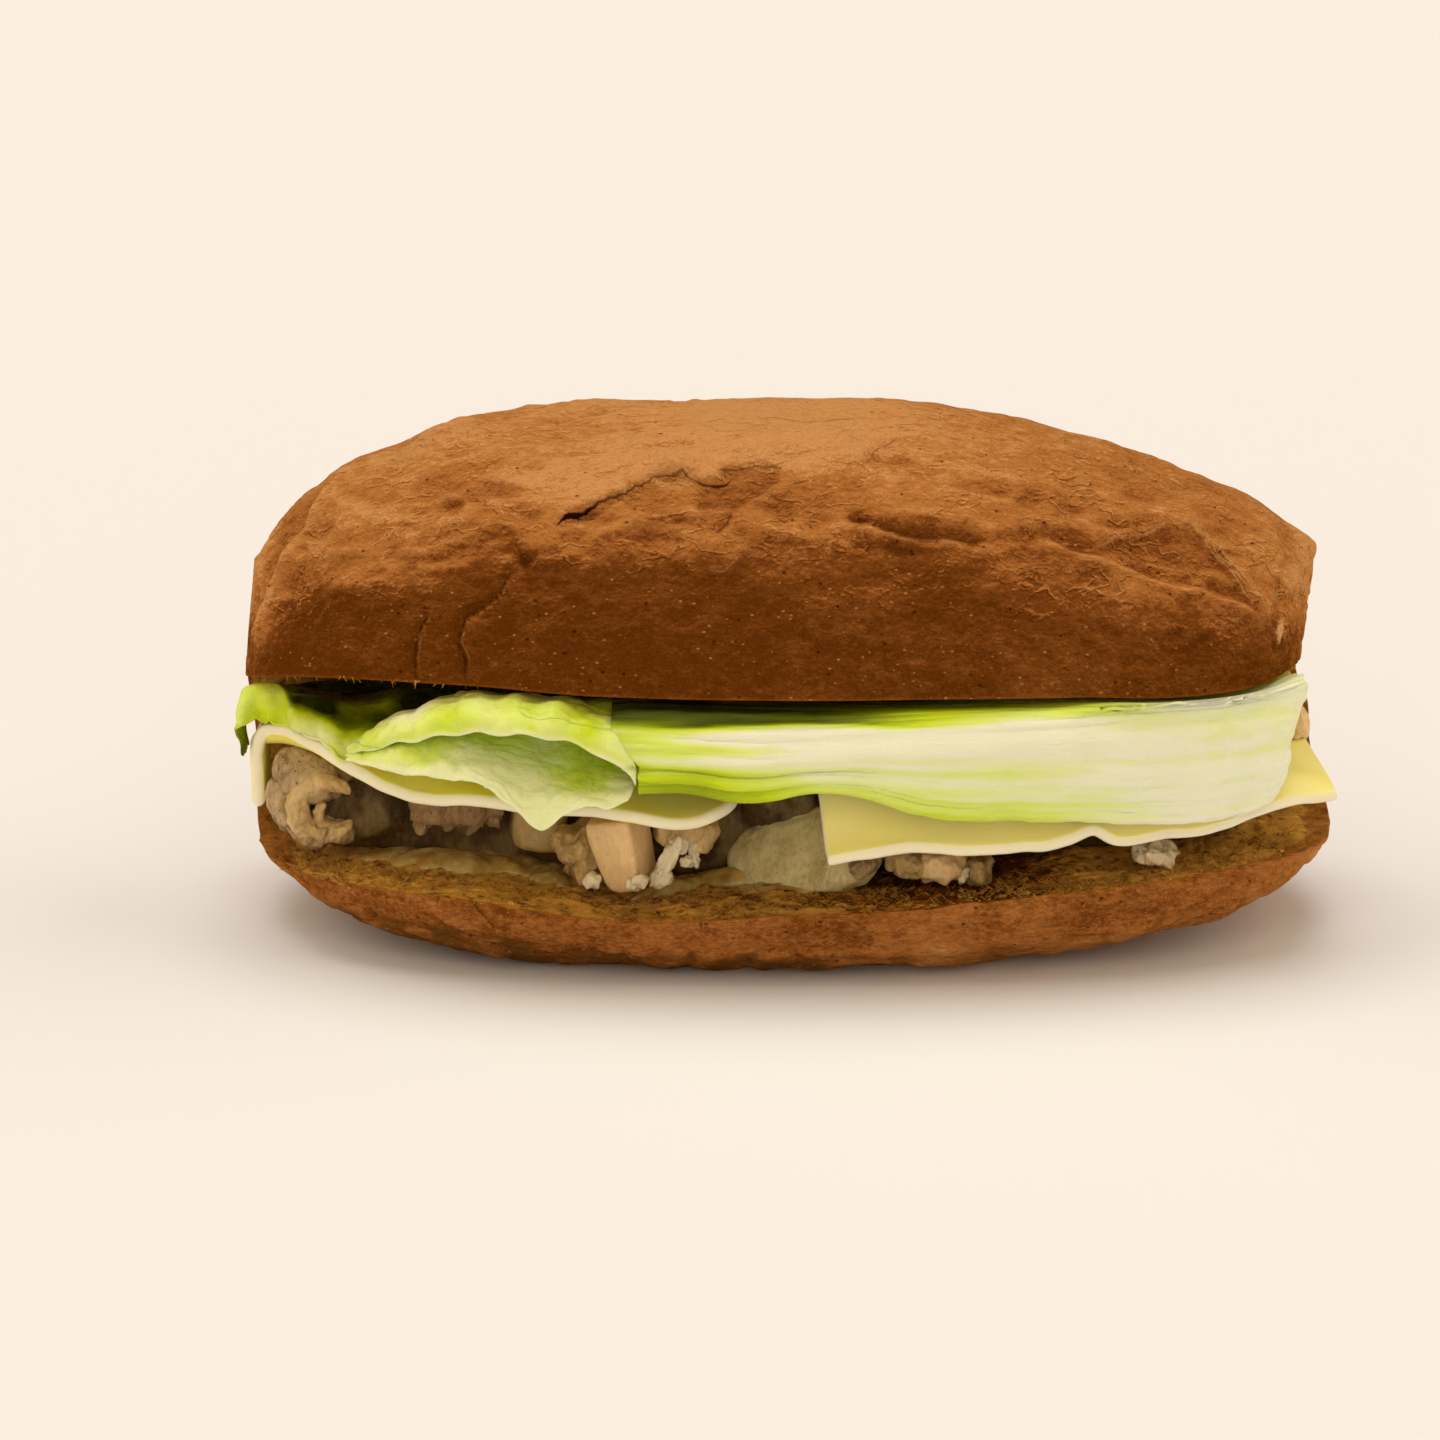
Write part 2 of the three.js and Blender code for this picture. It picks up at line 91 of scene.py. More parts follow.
def across(stops, t):
    """The same path where each stop is an array of its own, one row for each t."""
    stops = np.stack(stops)
    last = len(stops) - 1
    before, after = np.maximum(np.arange(last + 1) - 1, 0), np.minimum(np.arange(last + 1) + 1, last)
    slope = (stops[after] - stops[before]) * last / (after - before)[:, None, None]
    t = np.clip(t, 0, 1)
    i = np.clip(np.ceil(t * last).astype(int), 1, last)
    row = np.arange(len(t))
    s = (t * last - (i - 1))[:, None]
    return (
        stops[i - 1, row] * (1 + 2 * s) * (1 - s) ** 2
        + slope[i - 1, row] / last * s * (1 - s) ** 2
        + stops[i, row] * s * s * (3 - 2 * s)
        + slope[i, row] / last * s * s * (s - 1)
    )


def mix(a, b, t):
    """From a at t 0 to b at t 1."""
    return a + (b - a) * t


def clamp(t):
    return np.clip(t, 0.0, 1.0)


def ease(t):
    """Smoothly from 0 at t 0 to 1 at t 1."""
    t = clamp(t)
    return t * t * (3 - 2 * t)


def power(value, exponent):
    """A power that keeps the sign."""
    return np.sign(value) * np.abs(value) ** exponent


CELLS = 32
LATTICE = np.random.default_rng(11).uniform(-1, 1, (CELLS,) * 3)
SCATTER = np.random.default_rng(12).uniform(0.08, 0.92, (CELLS,) * 3 + (3,))


def hill(value, middle, reach):
    """1 at the middle and almost 0 from twice the reach on."""
    return np.exp(-(((value - middle) / reach) ** 2))


def noise(p, size, seed=0, stretch=(1, 1, 1)):
    """Smooth noise from -1 to 1 with lumps of this size in mm."""
    q = p / (size * np.array(stretch, float)) + seed * 5.37
    cell = np.floor(q).astype(int)
    f = q - cell
    f = f * f * (3 - 2 * f)
    total = np.zeros(len(p))
    for corner in np.ndindex(2, 2, 2):
        k = (cell + corner) % CELLS
        weight = np.prod(np.where(corner, f, 1 - f), axis=1)
        total += weight * LATTICE[k[:, 0], k[:, 1], k[:, 2]]
    return total


def fractal(p, size, octaves, seed=0, stretch=(1, 1, 1)):
    """Noise of this size with finer and weaker noise on it."""
    total = np.zeros(len(p))
    for k in range(octaves):
        total += noise(p, size / 2**k, seed + 3 * k, stretch) / 2**k
    return total


def creases(p, size, seed=0, stretch=(1, 1, 1), thin=4.0):
    """0 on smooth ground and up to 1 along a net of thin lines."""
    return clamp(1 - np.abs(noise(p, size, seed, stretch)) * thin) ** 2


def ridges(p, size, seed=0, stretch=(1, 1, 1)):
    """Sharp crests between round valleys, -1 to 1."""
    return 1 - 3.2 * np.abs(noise(p, size, seed, stretch))


def pits(p, size, seed=0):
    """Distance to the nearest of scattered points, one to a cell of this size, as a share of it."""
    q = p / size + seed * 7.31
    cell = np.floor(q).astype(int)
    best = np.full(len(p), 9.0)
    for corner in np.ndindex(3, 3, 3):
        c = cell + corner - 1
        k = c % CELLS
        best = np.minimum(best, ((q - c - SCATTER[k[:, 0], k[:, 1], k[:, 2]]) ** 2).sum(1))
    return np.sqrt(best)


def spread(curve, low, high, count, density=lambda p: 1.0):
    """Values from low to high, evenly spaced along a curve, and closer where the density is more."""
    t = np.linspace(low, high, 4001)
    p = curve(t)
    length = np.linalg.norm(np.diff(p, axis=0), axis=1) * density((p[1:] + p[:-1]) / 2)
    total = np.concatenate([[0], np.cumsum(length)])
    return np.interp(np.linspace(0, total[-1], count), total, t)


# ---- the roll, the same as in the part's source ----

HALF_LENGTH, HALF_WIDTH, BACK_WIDTH, WAIST = 88, 40, 43.2, 30
PLAN_POWER, CROWN_POWER, BASE_POWER, LAST_SWEEP = 2.7, 2.5, 4.5, 1.555
# Along the roll: its top and its underside.
crown = through([
    [-88, 60.4], [-84, 66.4], [-75, 73.8], [-62, 79.3], [-45, 83.7], [-10, 85],
    [20, 84.9], [40, 81.8], [66, 74], [78, 69], [88, 63],
])  # fmt: skip
belly = through([
    [-88, 12.6], [-76, 6], [-62, 1.4], [-45, -1], [30, -1], [45, 0.5], [64, 3.6], [78, 8], [88, 14.5],
])  # fmt: skip
# How far each end reaches, by height.
left_reach = through([[0, 81], [14, 86.4], [27, 86.5], [42, 87.5], [62, 85.8], [86, 85.4]])
right_reach = through([
    [0, 84], [14, 90], [20, 89.4], [27, 87.2], [36, 86.3], [44, 84], [52, 84.6], [58, 85.6],
    [64, 86.2], [86, 86.2],
])  # fmt: skip
# Along the roll: the lower and the upper cut face at the front, and the wall behind the filling.
lip = through([
    [-88, 14.6], [-60, 14.8], [-38, 12.6], [-24, 11.4], [0, 12.8], [18, 13.3], [31, 14.8],
    [60, 16.9], [76, 18.3], [88, 18],
])  # fmt: skip
roof_line = through([
    [-88, 41.3], [-76, 43.2], [-50, 43], [-30, 41.6], [0, 41], [45, 41.2], [61, 40.6], [75, 41.6],
    [84, 44.6], [90, 46],
])  # fmt: skip
back_wall = through([
    [-100, -1], [-84, 4], [-70, 18], [-40, 27], [0, 29], [40, 27], [70, 18], [84, 5], [100, 0],
])  # fmt: skip
ROOF_SLOPE, FLOOR_DIP, DIP_REACH, WALL_ROUND = 0.18, 1.4, 38, 3
# Half the length and the front of the room that is cut out of the roll, well past the crust.
ROOM_HALF_LENGTH, ROOM_FRONT = 100, -70
# Lower than this, a point of the plain roll rests on the floor.
ON_THE_FLOOR = 0.05
# Between the lower and the upper half, at the front.
SEAM_HEIGHT = 36


def plan_taper(t):
    """The roll's width at a share of its half length, as a share of the widest."""
    return (1 - clamp(np.abs(t)) ** PLAN_POWER) ** (1 / PLAN_POWER)


def skin(sweep, angle):
    """A point on the outside of the roll: angle 0 is at the back, a right angle on top, two in front."""
    sweep, angle = np.broadcast_arrays(np.asarray(sweep, float), np.asarray(angle, float))
    t = power(np.sin(sweep), 2 / PLAN_POWER)
    x = t * HALF_LENGTH
    upper = np.sin(angle) >= 0
    squareness = 2 / np.where(upper, CROWN_POWER, BASE_POWER)
    rise = np.where(upper, crown(x) - WAIST, WAIST - belly(x))
    width = np.where(np.cos(angle) > 0, BACK_WIDTH, HALF_WIDTH)
    y = width * plan_taper(t) * power(np.cos(angle), squareness)
    z = np.maximum(WAIST + rise * power(np.sin(angle), squareness), 0)
    return np.stack([t * np.where(t < 0, left_reach(z), right_reach(z)), y, z], -1)


def nominal(p):
    """Share of the roll's half length, place on the crown and belly curves, and the width there."""
    t = p[:, 0] / np.where(p[:, 0] < 0, left_reach(p[:, 2]), right_reach(p[:, 2]))
    width = np.where(p[:, 1] < 0, HALF_WIDTH, BACK_WIDTH) * plan_taper(np.clip(t, -0.9995, 0.9995))
    return t * HALF_LENGTH, width


def degrees_round(p):
    """How far round the roll a point is: 0 at its front waist, 90 on the crown, 180 at the back."""
    x, width = nominal(p)
    upper = p[:, 2] >= WAIST
    exponent = np.where(upper, CROWN_POWER, BASE_POWER) / 2
    rise = (p[:, 2] - WAIST) / np.where(upper, crown(x) - WAIST, WAIST - belly(x))
    angle = np.degrees(np.arctan2(power(rise, exponent), np.abs(p[:, 1] / width) ** exponent))
    return np.where(p[:, 1] > 0, 180 - angle, angle)


def depth_inside(p):
    """How far inside the roll's outline a point is, in mm, roughly."""
    x, width = nominal(p)
    upper = p[:, 2] >= WAIST
    exponent = np.where(upper, CROWN_POWER, BASE_POWER)
    rise = np.abs(p[:, 2] - WAIST) / np.where(upper, crown(x) - WAIST, WAIST - belly(x))
    share = (np.abs(p[:, 1] / width) ** exponent + rise**exponent) ** (1 / exponent)
    return (1 - share) * width


def floor_at(x, y):
    """Height of the lower cut face."""
    return lip(x) - FLOOR_DIP * np.cos(np.minimum(np.abs(y) / DIP_REACH, 1) * math.pi / 2)


def roof_at(x, y):
    """Height of the upper cut face."""
    return roof_line(x) - ROOF_SLOPE * y


# ---- meshes ----


def ladder(first_ring_at, count, rung_sum, turned):
    """Faces that close a ring between opposite points, the ones whose places add up to rung_sum."""
    faces = []
    first = math.ceil(rung_sum / 2)
    for a in range(first, first + count // 2 + count % 2):
        corners = [(j + count) % count for j in (a, a + 1, rung_sum - a - 1, rung_sum - a)]
        face = list(dict.fromkeys(first_ring_at + j for j in corners))
        if len(face) > 2:
            faces.append(face[::-1] if turned else face)
    return faces


def loft(rings, rung_sum):
    """A closed mesh from an array of rings. Each ring's ends are joined and both ends are closed."""
    steps, count = rings.shape[:2]
    i, j = np.meshgrid(np.arange(steps - 1), np.arange(count), indexing="ij")
    a, b = i * count + j, i * count + (j + 1) % count
    faces = np.stack([a, b, b + count, a + count], -1).reshape(-1, 4).tolist()
    faces += ladder(0, count, rung_sum, True) + ladder((steps - 1) * count, count, rung_sum, False)
    points = rings.reshape(-1, 3)
    p, q, r, s = (points[np.array([f[k] for f in faces if len(f) == 4])] for k in range(4))
    volume = (np.cross(q - p, r - p) * p).sum() + (np.cross(r - p, s - p) * p).sum()
    return points, faces if volume > 0 else [f[::-1] for f in faces]


def grid_normals(grid):
    """Directions at right angles to a grid of points."""
    normal = np.cross(np.gradient(grid, axis=0), np.gradient(grid, axis=1))
    return normal / np.maximum(np.linalg.norm(normal, axis=-1, keepdims=True), 1e-9)


def sheet(place, u, v, thickness, rounding, thin_edge=0.0):
    """A thin closed sheet with rounded edges: place(u, v) gives its middle surface."""
    shape = (len(u), len(v))
    grid_u, grid_v = (g.ravel() for g in np.meshgrid(u, v, indexing="ij"))
    middle = place(grid_u, grid_v).reshape(*shape, 3)
    normal = grid_normals(middle)
    edge = np.full(shape, 1e9)
    for axis in (0, 1):
        step = np.linalg.norm(np.diff(middle, axis=axis), axis=-1)
        run = np.concatenate([np.zeros_like(step.take([0], axis)), np.cumsum(step, axis)], axis)
        edge = np.minimum(edge, np.minimum(run, run.take([-1], axis) - run))
    rounded = np.sqrt(1 - (1 - clamp(edge / rounding)) ** 2 * 0.96)
    half = thickness / 2 * rounded * mix(1 - thin_edge, 1, ease(edge / 3))
    layers = [middle + side * half[..., None] * normal for side in (1, -1)]
    points = np.concatenate([layer.reshape(-1, 3) for layer in layers])
    i, j = np.meshgrid(np.arange(shape[0] - 1), np.arange(shape[1] - 1), indexing="ij")
    a, b = i * shape[1] + j, (i + 1) * shape[1] + j
    top = np.stack([a, b, b + 1, a + 1], -1).reshape(-1, 4)
    count = shape[0] * shape[1]
    index = np.arange(count).reshape(shape)
    rim = np.concatenate([index[:-1, 0], index[-1, :-1], index[:0:-1, -1], index[0, :0:-1]])
    after = np.roll(rim, -1)
    side = np.stack([after, rim, rim + count, after + count], -1)
    faces = np.concatenate([top, top[:, ::-1] + count, side]).tolist()
    return points, faces, np.tile(edge.ravel(), 2)


def fine_ends(count, length, rounding):
    """Places from 0 to 1, evenly spaced with extra ones close to both ends for a rounded edge."""
    near = np.array([0, 0.06, 0.2, 0.45, 0.8]) * rounding / length
    inner = np.linspace(near[-1], 1 - near[-1], count)
    return np.concatenate([near[:-1], inner, 1 - near[-2::-1]])


def ball(detail):
    """Points and faces of a fine ball of radius 1."""
    mesh = bmesh.new()
    bmesh.ops.create_icosphere(mesh, subdivisions=detail, radius=1)
    points = np.array([v.co for v in mesh.verts])
    faces = [[v.index for v in f.verts] for f in mesh.faces]
    mesh.free()
    return points, faces


def turn_by(degrees):
    a, b, c = (math.radians(d) for d in degrees)
    turn = Matrix.Rotation(a, 3, "X") @ Matrix.Rotation(b, 3, "Y") @ Matrix.Rotation(c, 3, "Z")
    return np.array(turn)


def new_object(name, points, faces, material):
    mesh = bpy.data.meshes.new(name)
    mesh.from_pydata((np.asarray(points) * MM).tolist(), [], faces)
    mesh.materials.append(material)
    made = bpy.data.objects.new(name, mesh)
    bpy.context.scene.collection.objects.link(made)
    return made


def join_parts(name, parts, material):
    """One mesh from several (points, faces) pairs."""
    points, faces, start = [], [], 0
    for part_points, part_faces in parts:
        points.append(part_points)
        faces += [[k + start for k in f] for f in part_faces]
        start += len(part_points)
    return new_object(name, np.concatenate(points), faces, material)


def coordinates(mesh):
    """A mesh's points in mm."""
    values = np.empty(len(mesh.vertices) * 3, np.float32)
    mesh.vertices.foreach_get("co", values)
    return values.reshape(-1, 3).astype(float) / MM


def cut(base, operation, others):
    """Joins or cuts base with the others, which are removed."""
    group = bpy.data.collections.new("cutters")
    for other in others:
        group.objects.link(other)
    modifier = base.modifiers.new("cut", "BOOLEAN")
    modifier.operand_type, modifier.collection = "COLLECTION", group
    modifier.operation, modifier.solver, modifier.material_mode = operation, "MANIFOLD", "TRANSFER"
    graph = bpy.context.evaluated_depsgraph_get()
    before = len(base.data.polygons)
    made = bpy.data.meshes.new_from_object(base.evaluated_get(graph), depsgraph=graph)
    if len(made.polygons) == before:
        raise RuntimeError(f"the {operation} on {base.name} changed nothing")
    base.modifiers.clear()
    old, base.data = base.data, made
    bpy.data.meshes.remove(old)
    for other in others:
        bpy.data.objects.remove(other)
    bpy.data.collections.remove(group)
    return base


def give(mesh, **values):
    """Writes one number for each point under each name, for the materials to read."""
    for name, value in values.items():
        attribute = mesh.attributes.new(name, "FLOAT", "POINT")
        attribute.data.foreach_set("value", np.asarray(value, np.float32))


def finish_piece(made, nodes=(), sharp_degrees=None):
    """Smooths a piece, rides it on the body, and hides the parts of the model that it stands for."""
    mesh = made.data
    mesh.polygons.foreach_set("use_smooth", np.ones(len(mesh.polygons), bool))
    if sharp_degrees:
        mesh.set_sharp_from_angle(angle=math.radians(sharp_degrees))
    mesh.update()
    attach(made, BODY)
    if nodes:
        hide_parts(*nodes)
    return made


# ---- materials ----


def srgb(r, g, b):
    """A colour read off a screen, 0 to 255, as Blender's linear values."""
    shares = (r / 255, g / 255, b / 255)
    return tuple(s / 12.92 if s <= 0.04045 else ((s + 0.055) / 1.055) ** 2.4 for s in shares)


class Paint:
    """Builds one material's nodes. Sizes are millimetres on the object, and constants are shader sockets."""

    def __init__(self, name, **constants):
        self.material = bpy.data.materials.new(name)
        self.material.use_nodes = True
        self.tree = self.material.node_tree
        self.shader = self.tree.nodes["Principled BSDF"]
        for socket, value in constants.items():
            self.shader.inputs[socket.replace("_", " ")].default_value = value
        self.place = self.add("ShaderNodeTexCoord").outputs["Object"]

    def add(self, kind, inputs=(), **settings):
        node = self.tree.nodes.new(kind)
        for key, value in settings.items():
            setattr(node, key, value)
        for key, value in dict(inputs).items():
            if isinstance(value, bpy.types.NodeSocket):
                self.tree.links.new(value, node.inputs[key])
            elif value is not None:
                node.inputs[key].default_value = value
        return node

    def stretched(self, stretch, shift=(0, 0, 0)):
        """The place on the object, squeezed by the stretch, at a point that many mm away."""
        if stretch is None:
            return self.place
        inputs = {"Vector": self.place, "Scale": [1 / s for s in stretch]}
        inputs["Location"] = [d * MM / s for d, s in zip(shift, stretch)]
        return self.add("ShaderNodeMapping", inputs).outputs[0]

    def noise(self, size, detail=2.0, roughness=0.5, stretch=None, distortion=0.0, shift=(0, 0, 0)):
        inputs = {"Vector": self.stretched(stretch, shift), "Scale": 1 / (size * MM), "Detail": detail}
        inputs.update({"Roughness": roughness, "Distortion": distortion})
        return self.add("ShaderNodeTexNoise", inputs).outputs["Fac"]

    def cells(self, size, stretch=None):
        inputs = {"Vector": self.stretched(stretch), "Scale": 1 / (size * MM)}
        return self.add("ShaderNodeTexVoronoi", inputs).outputs["Distance"]

    def relief_facing_light(self, size, stretch):
        """Above 0 where fine relief of this size faces up towards the light, below 0 where it faces down; the
        crust paints it as highlight and shade.
        """
        step = 0.12 * size
        here = self.noise(size, 4, 0.62, stretch)
        return self.math("SUBTRACT", here, self.noise(size, 4, 0.62, stretch, shift=(0, step, step)))

    def threads(self, size, width, stretch, shift=(0, 0, 0)):
        """1 on a net of thin lines with meshes of about this size, else 0."""
        away = self.math("SUBTRACT", self.noise(size, 3, 0.6, stretch, shift=shift), 0.5)
        return self.band(self.math("ABSOLUTE", away), width, 0.0)

    def number(self, name):
        return self.add("ShaderNodeAttribute", attribute_name=name).outputs["Fac"]

    def math(self, operation, a, b=None, c=None):
        return self.add("ShaderNodeMath", {0: a, 1: b, 2: c}, operation=operation).outputs[0]

    def times(self, a, b):
        return self.math("MULTIPLY", a, b)

    def larger(self, a, b):
        return self.math("MAXIMUM", a, b)

    def total(self, *pairs):
        """The sum of (value, factor) pairs."""
        result = 0.0
        for value, factor in pairs:
            result = self.math("MULTIPLY_ADD", value, factor, result)
        return result

    def band(self, value, low, high, to_low=0.0, to_high=1.0):
        inputs = {"Value": value, "From Min": low, "From Max": high, "To Min": to_low, "To Max": to_high}
        return self.add("ShaderNodeMapRange", inputs, interpolation_type="SMOOTHSTEP").outputs["Result"]

    def ramp(self, value, stops):
        node = self.add("ShaderNodeValToRGB", {"Fac": value})
        elements = node.color_ramp.elements
        while len(elements) < len(stops):
            elements.new(0.5)
        for element, (position, colour) in zip(elements, stops):
            element.position, element.color = position, (*colour, 1)
        return node.outputs["Color"]

    def blend(self, share, a, b):
        """From a to b, each a colour or a socket."""
        node = self.add("ShaderNodeMix", data_type="RGBA")
        for key, value in ((0, share), (6, a), (7, b)):
            if isinstance(value, bpy.types.NodeSocket):
                self.tree.links.new(value, node.inputs[key])
            else:
                node.inputs[key].default_value = value if key == 0 else (*value, 1)
        return node.outputs[2]

    def finish(self, colour, roughness, height):
        """Joins the looks to the shader; height is the fine relief in mm."""
        bump = self.add("ShaderNodeBump", {"Height": height, "Distance": MM, "Strength": 1.0})
        self.tree.links.new(colour, self.shader.inputs["Base Color"])
        self.tree.links.new(roughness, self.shader.inputs["Roughness"])
        self.tree.links.new(bump.outputs["Normal"], self.shader.inputs["Normal"])
        return self.material


# ---- crust and crumb ----

# One degree round the roll, in mm.
MM_A_DEGREE = 0.83
